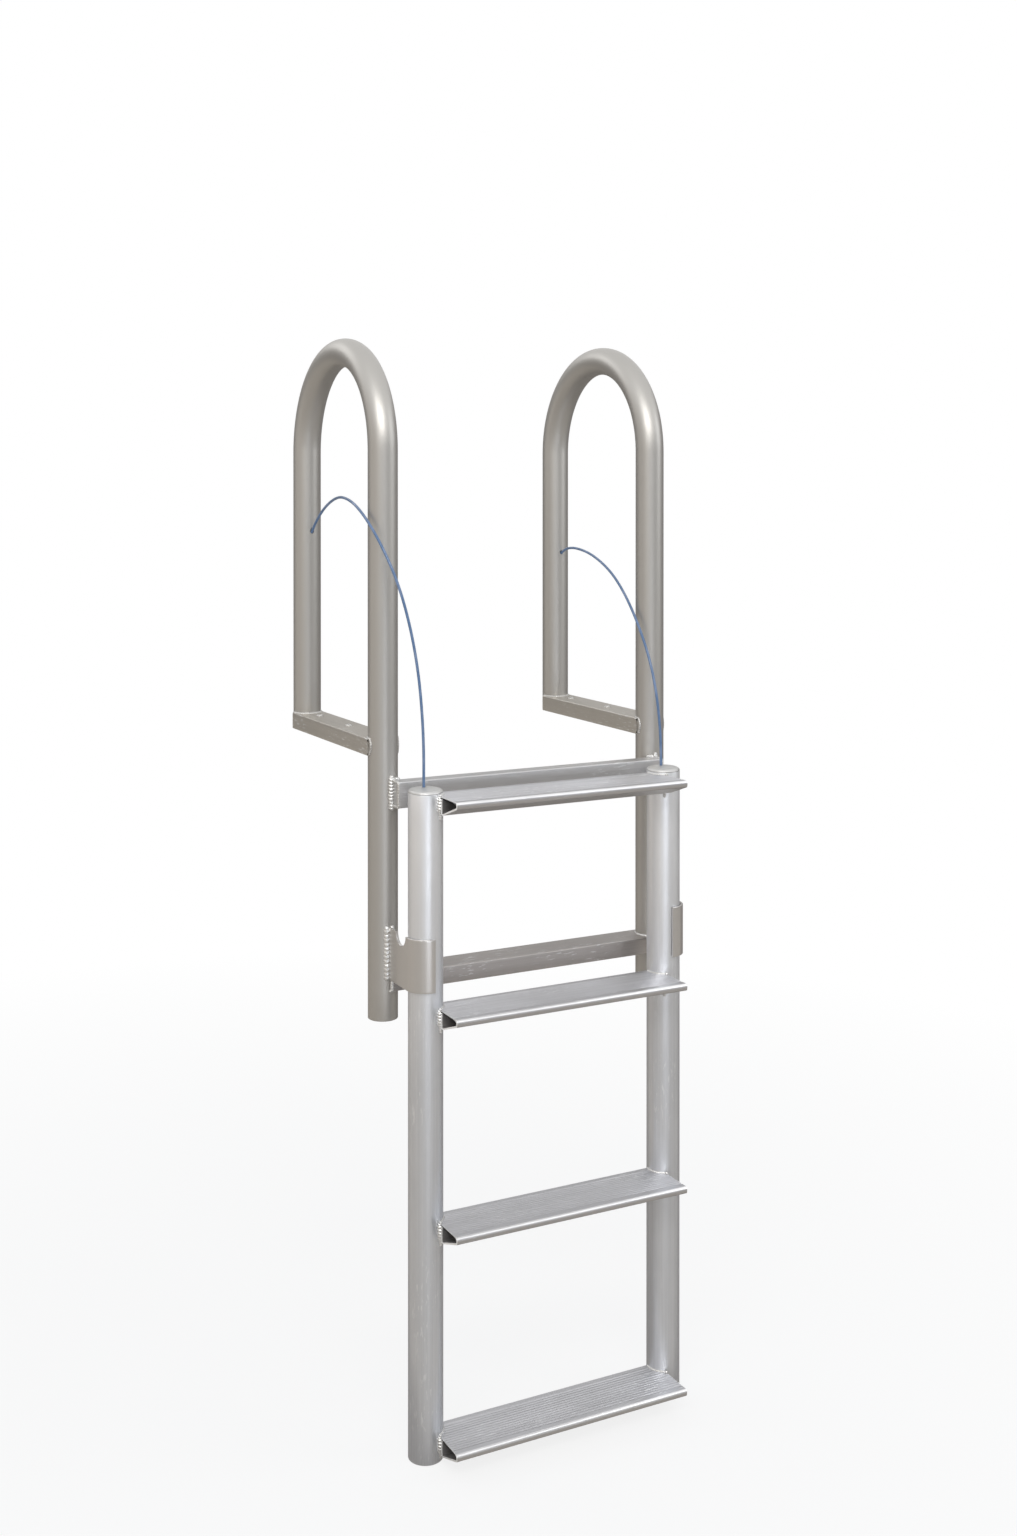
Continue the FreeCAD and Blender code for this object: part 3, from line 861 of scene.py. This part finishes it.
# %% [markdown]
# ### Hook brackets
# A strip of plate starts at the post's front, runs forward beside the rail and wraps round its
# outer side to the front. It is a rounded rectangle carried along a path of one line and one arc,
# and a half-round notch is cut in its top edge between the post and the rail.

# %% Hook brackets
NOTCH_R, NOTCH_SETBACK = 17.0 * MM, 20.0 * MM
BRACKET_GAP, BRACKET_SINK = 1.0 * MM, 1.4 * MM
BRACKET_PLATE = 4.0 * MM
BRACKET_WRAP = math.radians(93.0)


def hook_bracket(side, outwards):
    """Centre line: straight along -Y, then about the rail's axis with radius r, (cos, -sin) of an angle.

    The plate fills what the box leaves outside the rail and its gap. `outwards` is the way of X.
    """
    low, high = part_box(side + "_hook_bracket")
    outer_r = RAIL_Y - low.y
    plate = outer_r - RAIL_R - BRACKET_GAP
    r = outer_r - plate / 2
    straight = np.linspace(POST_Y - POST_R + BRACKET_SINK, RAIL_Y, 20)[:-1]
    angle = np.linspace(0, BRACKET_WRAP, 40)
    flat = np.concatenate([
        np.column_stack([np.full(len(straight), r), straight, np.zeros(len(straight))]),
        np.column_stack([r * np.cos(angle), RAIL_Y - r * np.sin(angle), angle]),
    ])
    across = np.column_stack([np.cos(flat[:, 2]), -np.sin(flat[:, 2])])
    section = rectangle(-plate / 2, low.z, plate / 2, high.z, 0.9 * MM)
    x = RAIL_X[side] + outwards * (flat[:, :1] + across[:, :1] * section[:, 0])
    y = flat[:, 1:2] + across[:, 1:] * section[:, 0]
    z = np.broadcast_to(section[:, 1], x.shape)
    run = np.broadcast_to(run_along(flat[:, :2])[:, None], x.shape)
    drawn = np.stack([np.broadcast_to(section[:, 0], x.shape), z, run], axis=-1)
    points = np.stack([x, y, z], axis=-1)
    piece = new_piece(side + "_hook_plate", points, flat_ended(*x.shape), drawn, ALL_SMOOTH)
    notch_y = RAIL_Y + NOTCH_SETBACK
    outer_x = RAIL_X[side] + outwards * 2 * RAIL_R
    drill(piece, (RAIL_X[side], notch_y, high.z), (outer_x, notch_y, high.z), NOTCH_R)
    soften(piece, 0.6 * MM)
    settle(piece, "frame", "frame_bar", bracket_metal, side + "_hook_bracket")


hook_bracket("left", -1)
hook_bracket("right", 1)

# %% [markdown]
# ### Rail caps
# Each rail is closed by a low domed cap with a hole for the cord, a little behind the middle.
# The surface runs from the hole over the dome, down its rounded edge, back underneath and up
# the hole again, so it closes on itself.

# %% Rail caps
DOME_FALL, CAP_EDGE, CAP_LIP = 1.6 * MM, 6.0 * MM, 0.6 * MM
HOLE_BACK = 6.0 * MM


def rail_cap(side):
    """Rows go from the hole's circle to the rim's. Each row is a circle of its own radius and height,
    and its centre moves from behind the middle to the middle as the radius grows.
    """
    rail_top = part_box(side + "_rail")[1].z
    cap_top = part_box(side + "_rail_cap")[1].z
    share = np.linspace(0, 1, 14)
    quarter = np.linspace(0, np.pi / 2, 10)[1:]
    flat_r = RAIL_R - CAP_EDGE
    hole_rim = HOLE_R + 0.5 * MM
    radius = np.concatenate([
        [HOLE_R], hole_rim + (flat_r - HOLE_R - 0.5 * MM) * share,
        flat_r + CAP_EDGE * np.sin(quarter), [RAIL_R, RAIL_R - CAP_LIP, HOLE_R, HOLE_R]])
    height = np.concatenate([
        [cap_top - 0.5 * MM], cap_top - DOME_FALL * share ** 2,
        cap_top - DOME_FALL - (CAP_EDGE - DOME_FALL) * (1 - np.cos(quarter)),
        [rail_top + CAP_LIP, rail_top + 0.05 * MM, rail_top + 0.05 * MM, rail_top + 1.0 * MM]])
    blend = np.clip((RAIL_R - radius) / (RAIL_R - HOLE_R), 0, 1)
    shift = HOLE_BACK * np.concatenate([[1.0], 1 - share, blend[len(share) + 1:]])
    turn = turns(AROUND)
    x = RAIL_X[side] + radius[:, None] * np.cos(turn)
    y = RAIL_Y + shift[:, None] + radius[:, None] * np.sin(turn)
    points = np.stack([x, y, np.broadcast_to(height[:, None], x.shape)], axis=-1)
    faces = grid_faces(len(radius), AROUND, True).tolist()
    piece = new_piece(side + "_rail_cap_dome", points, faces, points, 40.0)
    settle(piece, "ladder", "rail_cap", cap_metal, side + "_rail_cap")


rail_cap("left")
rail_cap("right")

# %% [markdown]
# ## Weld beads
# Every joint is closed by a bead of overlapping ripples, like a row of coins that lean on each
# other. A bead's section is an ellipse half sunk in the joint, and its size swells once per
# ripple. The ripples lag behind at the bead's sides, which gives them their crescent shape.

# %% A bead along a line
def weld_bead(line, half_width, half_height, pitch, seed):
    """Rings of a bead: point = centre + size * (half_width cos t across + half_height sin t outwards).

    size = 0.66 + 0.34 sqrt(1 - (2 c - 1)^2), where c runs from 0 to 1 over each ripple. The line's
    columns are X, Y, Z and the direction outwards. Its points are first put at even distances.
    """
    run = run_along(line[:, :3])
    length = run[-1]
    s = np.linspace(0.0, length, int(length / (pitch / 9)) + 2)
    line = np.stack([np.interp(s, run, line[:, k]) for k in range(6)], axis=-1)
    tangent = unit(np.gradient(line[:, :3], axis=0))
    across = unit(np.cross(tangent, line[:, 3:]))
    outward = unit(np.cross(across, tangent))
    turn = turns(20)
    ripples = max(1, round(length / pitch))
    uneven = np.random.default_rng(seed).uniform(-1, 1, ripples + 1)
    uneven[-1] = uneven[0]
    swell = np.interp(s / length * ripples, np.arange(ripples + 1), uneven)[:, None]
    phase = s[:, None] / length * ripples + 0.06 * swell + 0.42 * np.cos(turn) ** 2
    coin = phase % 1.0
    size = (0.66 + 0.34 * np.sqrt(np.clip(1 - (2 * coin - 1) ** 2, 0, 1))) * (1 + 0.07 * swell)
    near_end = np.clip(np.minimum(s, length - s) / (1.2 * half_width), 0, 1)
    size = size * np.sqrt(1 - (1 - near_end) ** 2 * 0.98)[:, None]
    ring = circles(half_width * across, half_height * outward, turn)
    return line[:, None, :3] + size[..., None] * ring


def lay_welds(name, body, slot, beads, finish=weld_metal):
    """One mesh of several beads. A bead is (line, half_width, half_height, pitch), with sizes in mm."""
    points, faces, total = [], [], 0
    for number, (line, half_width, half_height, pitch) in enumerate(beads):
        rings = weld_bead(line, half_width * MM, half_height * MM, pitch * MM, number + 7 * len(name))
        these, quads = capped_sweep(rings, rings[[0, -1]].mean(axis=1))
        points.append(these)
        faces += [[corner + total for corner in face] for face in quads]
        total += len(these)
    points = np.concatenate(points)
    piece = new_piece(name, points, faces, points, 75.0)
    settle(piece, body, slot, finish)


# %% Lines for beads to follow
def arc_line(x, y, z, radius, start, end, up):
    """Part of a level circle, in degrees. Outwards is the radial direction plus `up` times +Z."""
    angle = np.radians(np.linspace(start, end, 60))
    radial = np.column_stack([np.cos(angle), np.sin(angle), np.zeros(len(angle))])
    return np.column_stack([np.array([x, y, z]) + radius * radial, radial + [0, 0, up]])


def straight_line(start, end, outward, bulge=(0.0, 0.0, 0.0)):
    """A line from start to end that bows by `bulge` in its middle, as sin(pi t)."""
    t = np.linspace(0, 1, 40)[:, None]
    centre = (1 - t) * np.array(start) + t * np.array(end) + np.sin(np.pi * t) * np.array(bulge)
    return np.column_stack([centre, np.tile(outward, (len(t), 1))])


# %% [markdown]
# The hoops' feet are welded all round the legs, over the foot bar and down its sides. These
# beads are thin and dull. The numbers after each line are half the bead's width, half its
# height and the ripples' pitch, in millimetres. In the functions below, `sign` is 1 on the left
# side and -1 on the right, so that a step of sign * X always leads inwards.

# %% Beads of the feet
foot_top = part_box("left_foot_bar")[1].z


def foot_beads(side):
    """An arc round each leg on top of the foot bar, and a short bead down each of its four corners."""
    x = POST_X[side]
    around = POST_R + 0.3 * MM
    beads = [
        (arc_line(x, REAR_Y, foot_top, around, -184, 4, up=1.0), 2.4, 1.9, 3.4),
        (arc_line(x, POST_Y, foot_top, around, -4, 184, up=1.0), 2.4, 1.9, 3.4),
    ]
    for flank in (-1, 1):
        edge_x = x + flank * (POST_R + 0.2 * MM)
        front_y, rear_y = POST_Y - 1.5 * MM, REAR_Y + 1.2 * MM
        top, foot = foot_top + 1.5 * MM, 0.5 * MM
        beads += [
            (straight_line((edge_x, front_y, top), (edge_x, front_y, foot), (flank, -0.6, 0),
                           bulge=(-flank * 0.8 * MM, -4.5 * MM, 0)), 2.2, 1.9, 3.4),
            (straight_line((edge_x, rear_y, top), (edge_x, rear_y, foot), (flank, 0.6, 0),
                           bulge=(0, 0.8 * MM, 0)), 2.2, 1.9, 3.4),
        ]
    return beads


# %% [markdown]
# The upper crossbar's end takes the heaviest welds, since the bar only touches the post along a
# line: a broad bead up the post, thin ones round the sawn end, and one over and one under the
# seam. The lower crossbar is closed all round its coped end.

# %% Beads of the crossbars
def upper_crossbar_beads(side, sign):
    """Beads round the end of the upper crossbar, where its back touches the post's circle."""
    low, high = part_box("upper_crossbar")
    end_x = low.x if side == "left" else high.x
    touch_y = POST_Y - math.sqrt(POST_R ** 2 - (end_x - POST_X[side]) ** 2)
    seam_x, sawn_x = end_x - sign * 1.0 * MM, end_x - sign * 0.2 * MM
    seam_y, corner_y = touch_y - 1.0 * MM, low.y + 1.6 * MM
    beads = [
        (straight_line((seam_x, seam_y, high.z + 7.0 * MM), (seam_x, seam_y, low.z - 7.0 * MM),
                       (-sign * 0.5, -1.0, 0), bulge=(-sign * 1.5 * MM, -1.5 * MM, 0)), 4.6, 3.6, 4.6),
        (straight_line((sawn_x, corner_y, high.z - 1.0 * MM), (sawn_x, corner_y, low.z + 1.0 * MM),
                       (-sign, -0.7, 0)), 2.2, 1.7, 4.0),
    ]
    for z, up in ((high.z - 0.8 * MM, 0.8), (low.z + 0.8 * MM, -0.8)):
        beads.append((straight_line((sawn_x, low.y + 2.0 * MM, z), (sawn_x, seam_y, z), (-sign, 0, up)),
                      2.4, 2.0, 4.0))
    for z, up, half_height in ((high.z + 0.2 * MM, 1, 3.2), (low.z - 0.2 * MM, -1, 3.0)):
        beads.append((straight_line((seam_x, seam_y, z), (end_x + sign * 13.0 * MM, touch_y + 3.0 * MM, z),
                                    (0, 0.2, up)), 3.6, half_height, 4.0))
    return beads


def lower_crossbar_beads(side, sign):
    """An arc over and under the coped end, and a short bead down its front and its back."""
    low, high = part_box("lower_crossbar")
    end_x = low.x if side == "left" else high.x
    middle = 0 if side == "left" else 180
    reach = math.degrees(math.asin(min(1.0, (POST_Y - low.y - 3.2 * MM) / POST_R)))
    beads = []
    for z, up in ((high.z, 1.0), (low.z, -1.0)):
        line = arc_line(POST_X[side], POST_Y, z, POST_R + 0.3 * MM, middle - reach, middle + reach, up)
        beads.append((line, 2.4, 2.0, 3.4))
    for y in (low.y, high.y):
        outward = (-sign, math.copysign(1.0, y - POST_Y), 0)
        beads.append((straight_line((end_x, y, high.z), (end_x, y, low.z), outward), 2.8, 2.2, 3.4))
    return beads


# %% [markdown]
# Each bracket is welded to its post by an upright bead on both faces of the plate.

# %% Beads of the brackets
def bracket_beads(side, sign):
    """Two upright beads where the faces of the plate meet the post's circle."""
    low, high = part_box(side + "_hook_bracket")
    outer_x = low.x if side == "left" else high.x
    inner_x = outer_x + sign * BRACKET_PLATE
    beads = []
    for face_x, out_x in ((outer_x, -sign), (inner_x, sign)):
        seam_y = POST_Y - math.sqrt(POST_R ** 2 - (face_x - POST_X[side]) ** 2)
        seam_x = face_x + out_x * 2.6 * MM
        beads.append((straight_line((seam_x, seam_y, high.z + 2.0 * MM), (seam_x, seam_y, low.z - 2.0 * MM),
                                    (out_x * 0.7, -1.0, 0)), 4.8, 3.6, 6.2))
    return beads


# %% Welds of the frame
INWARDS = {"left": 1, "right": -1}
for side, sign in INWARDS.items():
    lay_welds(side + "_foot_welds", "frame", "frame_bar", foot_beads(side), dull_weld)
    lay_welds(side + "_crossbar_welds", "frame", "frame_bar",
              upper_crossbar_beads(side, sign) + lower_crossbar_beads(side, sign))
    lay_welds(side + "_bracket_welds", "frame", "frame_bar", bracket_beads(side, sign))

# %% [markdown]
# The treads are welded to the rails' inner front: a thin bead over the plate, one under it, and a
# heavier one down the side of the box, with a lump where it starts and a tail below the box.

# %% Welds of the ladder
def tread_beads(side, sign, low, high):
    """Five beads round one end of a tread. The seam is where the tread's end crosses the rail's circle."""
    x = RAIL_X[side]
    end_x = low.x if side == "left" else high.x
    seam = math.acos(abs(end_x - x) / RAIL_R)
    seam_angle = math.degrees(seam)
    start, stop = (-seam_angle, 12) if side == "left" else (180 + seam_angle, 168)
    seam_x = x + sign * math.cos(seam) * (RAIL_R + 0.6 * MM)
    seam_y = RAIL_Y - math.sin(seam) * (RAIL_R + 0.6 * MM)
    outward = (-sign * 0.55, -0.8, 0)
    return [
        (arc_line(x, RAIL_Y, high.z, RAIL_R + 0.2 * MM, start, stop, up=1.2), 1.9, 1.5, 2.8),
        (arc_line(x, RAIL_Y, high.z - PLATE, RAIL_R + 0.2 * MM, start, stop, up=-1.2), 2.4, 2.0, 3.0),
        (straight_line((seam_x, seam_y - 1.4 * MM, high.z + 0.4 * MM),
                       (seam_x, seam_y - 1.8 * MM, low.z + 1.0 * MM),
                       outward, bulge=(0, -1.2 * MM, 0)), 4.6, 4.0, 4.4),
        (straight_line((seam_x + sign * 1.0 * MM, seam_y - 0.4 * MM, low.z + 4.0 * MM),
                       (seam_x + sign * 2.6 * MM, seam_y + 1.2 * MM, low.z - 9.5 * MM),
                       outward), 2.6, 2.4, 3.8),
        (straight_line((seam_x - sign * 1.0 * MM, seam_y - 2.2 * MM, high.z + 1.0 * MM),
                       (seam_x + sign * 2.5 * MM, seam_y - 4.0 * MM, high.z + 0.3 * MM),
                       (-sign * 0.4, -0.7, 0.6)), 3.4, 2.8, 4.4),
    ]


for number in TREADS:
    low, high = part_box("tread_%d" % number)
    beads = tread_beads("left", 1, low, high) + tread_beads("right", -1, low, high)
    lay_welds("tread_%d_welds" % number, "ladder", "tread_extrusion", beads)

# %% [markdown]
# ## Foot bolts
# A small round-headed bolt sits in each hole of the foot bars. Its head is one profile turned
# about the bolt's axis, with a round recess in the middle. The rear bolts carry a low nut underneath.

# %% Foot bolts
def turned(name, profile, x, y, z, sides=48):
    """A profile of (radius, height) turned about an upright axis, closed by a pole at each end."""
    profile = np.array(profile) * MM
    turn = turns(sides)
    rings = np.stack([
        x + profile[:, :1] * np.cos(turn), y + profile[:, :1] * np.sin(turn),
        np.repeat(z + profile[:, 1:], sides, 1)], axis=-1)
    points, faces = capped_sweep(rings, rings[[0, -1]].mean(axis=1))
    return new_piece(name, points, faces, points, 40.0)


RECESS = [(1.9, 1.4), (2.1, 2.9)]
DOME = [(0.9 + 4.9 * math.sin(t), 0.2 + 3.0 * math.cos(t)) for t in np.radians(np.linspace(19.5, 78, 7))]
SHANK = [(5.9, 0.4), (5.8, 0.0), (4.1, -0.1), (4.1, -26.0), (3.6, -26.4)]
NUT = [(5.9, -25.4), (6.8, -25.9), (6.8, -28.4), (5.9, -28.9)]
for side in ("left", "right"):
    for y, name in ((-BOLT_Y, "front"), (BOLT_Y, "rear")):
        piece = turned("%s_%s_foot_bolt" % (side, name), RECESS + DOME + SHANK, POST_X[side], y, foot_top)
        settle(piece, "frame", "frame_bar", bolt_metal)
    piece = turned(side + "_rear_foot_nut", NUT, POST_X[side], BOLT_Y, foot_top, sides=6)
    settle(piece, "frame", "frame_bar", bolt_metal)

# %% [markdown]
# ## Cords
# A blue coated cord comes out of each rear leg, arches forward and drops into the cap of the
# rail below it. It is the smooth NURBS line of its route's points, and a thin tube follows that
# line, with the faint twist of the strands under the coating.

# %% The line of a cord
def spline_points(name, route):
    """The smooth line of a NURBS spline whose control points are the route, as an array of points."""
    curve = bpy.data.curves.new(name, "CURVE")
    curve.dimensions = "3D"
    spline = curve.splines.new("NURBS")
    spline.points.add(len(route) - 1)
    controls = np.concatenate([np.array(route) * MM, np.ones((len(route), 1))], axis=1)
    spline.points.foreach_set("co", controls.ravel())
    spline.order_u = 3
    spline.use_endpoint_u = True
    spline.resolution_u = 12
    holder = bpy.data.objects.new(name, curve)
    scene.collection.objects.link(holder)
    bpy.context.view_layer.update()
    line = bpy.data.meshes.new_from_object(holder.evaluated_get(bpy.context.evaluated_depsgraph_get()))
    bpy.data.objects.remove(holder)
    return places(line)


# %% [markdown]
# The coating is a blue plastic skin: a little gloss, pale patches that are partly worn coating
# and partly a painted highlight, and small dark specks of dirt.

# %% Cord finish
def coated_cord(name, blue, pale, dark):
    """Blue plastic, pale in patches of worn coating and painted highlight, dark in specks of dirt."""
    material = bpy.data.materials.new(name)
    material.use_nodes = True
    tree = material.node_tree
    shader = tree.nodes["Principled BSDF"]
    place = add_node(tree, "ShaderNodeAttribute", attribute_name="drawn").outputs["Vector"]
    # Pale patches: partly worn coating, partly a painted highlight.
    sheen = ranged(tree, noise(tree, place, 60.0, 3.0, (1.0, 1.0, 0.5)), 0.45, 0.7)
    dirt = ranged(tree, noise(tree, place, 900.0, 2.0), 0.5, 0.8)
    colour = mixed(tree, "MIX", worked(tree, "MULTIPLY", sheen, 0.55), (*blue, 1.0), (*pale, 1.0))
    colour = mixed(tree, "MIX", worked(tree, "MULTIPLY", dirt, 0.3), colour, (*dark, 1.0))
    tree.links.new(colour, shader.inputs["Base Color"])
    tree.links.new(worked(tree, "MULTIPLY_ADD", sheen, 0.12, 0.32), shader.inputs["Roughness"])
    shader.inputs["Coat Weight"].default_value = 0.25
    shader.inputs["Coat Roughness"].default_value = 0.2
    return material


cord_blue = coated_cord("cord_blue", (0.105, 0.185, 0.34), (0.33, 0.39, 0.56), (0.045, 0.075, 0.14))

# %% A cord's tube
CORD_D = 4.2 * MM
STRANDS, LAY, RELIEF = 7, 0.022, 0.09 * MM


def cord(side):
    """A coated cord: point = path(s) + r (cos t first + sin t second), square to the path.

    r dips by RELIEF between strands, as |cos| of half the strands' number times t - 2 pi s / LAY,
    so the strands turn once about the cord in every LAY.
    """
    points = spline_points(side + "_cord_line", ROUTES[side])
    run = run_along(points)
    length = run[-1]
    s = np.arange(0.0, length, 0.8 * MM)
    s[-1] = length
    path = np.stack([np.interp(s, run, points[:, k]) for k in range(3)], axis=-1)
    tangents = unit(np.gradient(path, axis=0))
    first = unit(np.cross(tangents, [1.0, 0.0, 0.0]))
    second = np.cross(tangents, first)
    turn = turns(28)
    wave = np.abs(np.cos(STRANDS / 2 * (turn[None, :] - 2 * np.pi * s[:, None] / LAY)))
    r = CORD_D / 2 - RELIEF * (1 - wave)
    skin = path[:, None, :] + r[..., None] * circles(first, second, turn)
    skin_points, faces = capped_sweep(skin, path[[0, -1]])
    drawn = np.stack([r * np.cos(turn), r * np.sin(turn), np.repeat(s[:, None], len(turn), 1)], axis=-1)
    drawn = np.concatenate([drawn.reshape(-1, 3), [[0, 0, 0], [0, 0, length]]])
    piece = new_piece(side + "_blue_cord", skin_points, faces, drawn, 60.0)
    piece.data.materials.append(cord_blue)
    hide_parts(side + "_cord")
    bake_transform(piece)
    print(side, "cord length", round(float(length), 4), "m")


cord("left")
cord("right")

# %% [markdown]
# ## Light, floor and background
# A plain studio: a pale floor under the ladder, a white world behind it, a long soft lamp from
# the front left, a fill from the right and a rim lamp from behind. Grey cards stand round it
# outside the picture, and only reflections see them: metal needs something darker to reflect, or
# its roundness is lost. Three brighter cards give the highlights on the rails and the bends.

# %% Surfaces of the studio
def seen_by(tree, *kinds):
    """1 for rays from the camera and rays of the named kinds, 0 for all others."""
    rays = add_node(tree, "ShaderNodeLightPath")
    seen = rays.outputs["Is Camera Ray"]
    for kind in kinds:
        seen = worked(tree, "MAXIMUM", seen, rays.outputs[kind])
    return seen


def show(tree, share, plain, other, output):
    """Sends `plain` to the output where the share is 0, and `other` where it is 1."""
    blend = add_node(tree, "ShaderNodeMixShader")
    for socket, given in zip(blend.inputs, (share, plain.outputs[0], other.outputs[0])):
        tree.links.new(given, socket)
    tree.links.new(blend.outputs[0], add_node(tree, output).inputs["Surface"])


def board(name, centre, across, along):
    """A flat board, as centre + u across + v along with u and v at -0.5 and 0.5, and its empty material."""
    u, v = np.meshgrid([-0.5, 0.5], [-0.5, 0.5])
    points = np.array(centre) + u[..., None] * across + v[..., None] * along
    mesh = bpy.data.meshes.new(name)
    mesh.from_pydata(points.reshape(-1, 3).tolist(), [], [(0, 1, 3, 2)])
    flat = bpy.data.objects.new(name, mesh)
    scene.collection.objects.link(flat)
    material = bpy.data.materials.new(name)
    material.use_nodes = True
    material.node_tree.nodes.clear()
    mesh.materials.append(material)
    return flat, material.node_tree


# %% World
world = bpy.data.worlds.new("studio")
scene.world = world
world.use_nodes = True
tree = world.node_tree
tree.nodes.clear()
glow = add_node(tree, "ShaderNodeBackground", in_Color=(1.0, 1.0, 1.0, 1.0), in_Strength=1.0)
ambient = add_node(tree, "ShaderNodeBackground", in_Color=(0.93, 0.96, 1.0, 1.0), in_Strength=0.62)
seen = seen_by(tree, "Is Glossy Ray", "Is Transmission Ray")
show(tree, seen, ambient, glow, "ShaderNodeOutputWorld")
print("world nodes:", len(tree.nodes))

# %% Lamps
MIDDLE = Vector((0.23, -0.15, -0.15))


def lamp(name, place, width, height, watts, colour):
    """An oval area lamp that looks at the middle of the ladder."""
    data = bpy.data.lights.new(name, "AREA")
    data.shape = "ELLIPSE"
    data.size, data.size_y = width, height
    data.energy = watts
    data.color = colour
    light = bpy.data.objects.new(name, data)
    light.location = place
    light.rotation_mode = "QUATERNION"
    light.rotation_quaternion = (MIDDLE - Vector(place)).to_track_quat("-Z", "Y")
    scene.collection.objects.link(light)
    print(name, watts, "W")


lamp("key_lamp", (-1.4, -3.0, 2.45), 3.6, 1.0, 62.0, (1.0, 0.99, 0.97))
lamp("fill_lamp", (3.2, -2.4, 1.2), 2.4, 2.4, 22.0, (0.94, 0.97, 1.0))
lamp("rim_lamp", (-1.5, 2.6, 2.2), 1.8, 1.8, 8.0, (1.0, 1.0, 1.0))

# %% Cards that only reflections see
def card(name, centre, facing, width, height, colour):
    """A flat glowing card. `facing` is the way that its front looks."""
    facing = unit(np.array(facing, float))
    upright = abs(facing[2]) < 0.9
    across = unit(np.cross(facing, [0.0, 0.0, 1.0] if upright else [0.0, 1.0, 0.0]))
    flat, tree = board(name, centre, width * across, height * np.cross(across, facing))
    paint = add_node(tree, "ShaderNodeEmission", in_Color=(*colour, 1.0), in_Strength=1.0)
    tree.links.new(paint.outputs[0], add_node(tree, "ShaderNodeOutputMaterial").inputs["Surface"])
    for kind in ("camera", "diffuse", "transmission", "volume_scatter", "shadow"):
        setattr(flat, "visible_" + kind, False)
    flat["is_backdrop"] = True
    print(name, width, "by", height, "m")


card("warm_card", (-4.5, 0.2, 0.2), (1, 0, 0), 9.0, 3.6, (0.67, 0.62, 0.565))
card("grey_card", (4.5, -0.5, 0.2), (-1, 0, 0), 9.0, 3.6, (0.25, 0.24, 0.23))
card("low_back_card", (0.5, 5.0, -0.25), (0, -1, 0), 10.0, 2.1, (0.20, 0.19, 0.18))
card("high_back_card", (0.5, 5.0, 1.6), (0, -1, 0), 10.0, 1.6, (0.30, 0.29, 0.28))
card("front_card", (0.0, -5.6, 0.6), (0, 1, 0), 9.0, 5.0, (0.33, 0.335, 0.345))
card("wide_bright_card", (-1.2, -3.45, -0.79), (0.45, 0.9, 0), 3.0, 0.42, (1.05, 1.05, 1.06))
card("bright_card", (-0.35, -3.3, -0.64), (0.1, 1, 0), 1.3, 0.66, (2.6, 2.7, 2.9))
card("high_bright_card", (-1.2, -3.4, 2.5), (0.25, 0.8, -0.55), 7.0, 1.4, (1.5, 1.5, 1.5))
low_z = cad_low.z - 0.3 * MM
card("front_ground_card", (0.0, -3.2, low_z), (0, 0, 1), 10.0, 5.7, (0.48, 0.45, 0.41))
card("back_ground_card", (2.4, 2.35, low_z), (0, 0, 1), 5.2, 5.4, (0.27, 0.25, 0.23))
card("left_ground_card", (-2.6, 2.35, low_z), (0, 0, 1), 4.8, 5.4, (0.50, 0.46, 0.41))

# %% [markdown]
# The floor is matt and keeps the ladder's faint shadow near it. Further away it fades to the
# same white as the world, so that no horizon shows.

# %% Floor
FLOOR_WIDTH = 24.0
floor_z = cad_low.z - 0.5 * MM
across, along = FLOOR_WIDTH * np.eye(3)[:2]
floor, tree = board("pale_floor", (0.0, 0.0, floor_z), across, along)
matt = add_node(tree, "ShaderNodeBsdfDiffuse", in_Color=(0.82, 0.82, 0.82, 1.0))
white = add_node(tree, "ShaderNodeEmission", in_Color=(1.0, 1.0, 1.0, 1.0), in_Strength=1.0)
distance = add_node(tree, "ShaderNodeVectorMath", operation="LENGTH")
tree.links.new(add_node(tree, "ShaderNodeTexCoord").outputs["Object"], distance.inputs[0])
fade = ranged(tree, distance.outputs["Value"], 0.95, 2.6, 0.8, 1.0)
share = worked(tree, "MULTIPLY", seen_by(tree, "Is Glossy Ray"), fade)
show(tree, share, matt, white, "ShaderNodeOutputMaterial")
floor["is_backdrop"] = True
print("floor at", round(floor_z, 4), "m")

# %% [markdown]
# ## CAD pieces that keep their shape
# Pieces whose CAD mesh is right as it is only take a finish.

# %% Finishes for the CAD nodes that stay
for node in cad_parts.values():
    if not node.hide_render:
        node.data.materials.clear()
        node.data.materials.append(cad_metal)
        print(node.name, "keeps its CAD shape")

# %% [markdown]
# ## Sizes
# The box of all that was made is kept beside the CAD box, so that the two can be compared.

# %% Sizes and finish
low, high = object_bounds()
print("visual box in metres:", tuple(round(v, 3) for v in low), tuple(round(v, 3) for v in high))
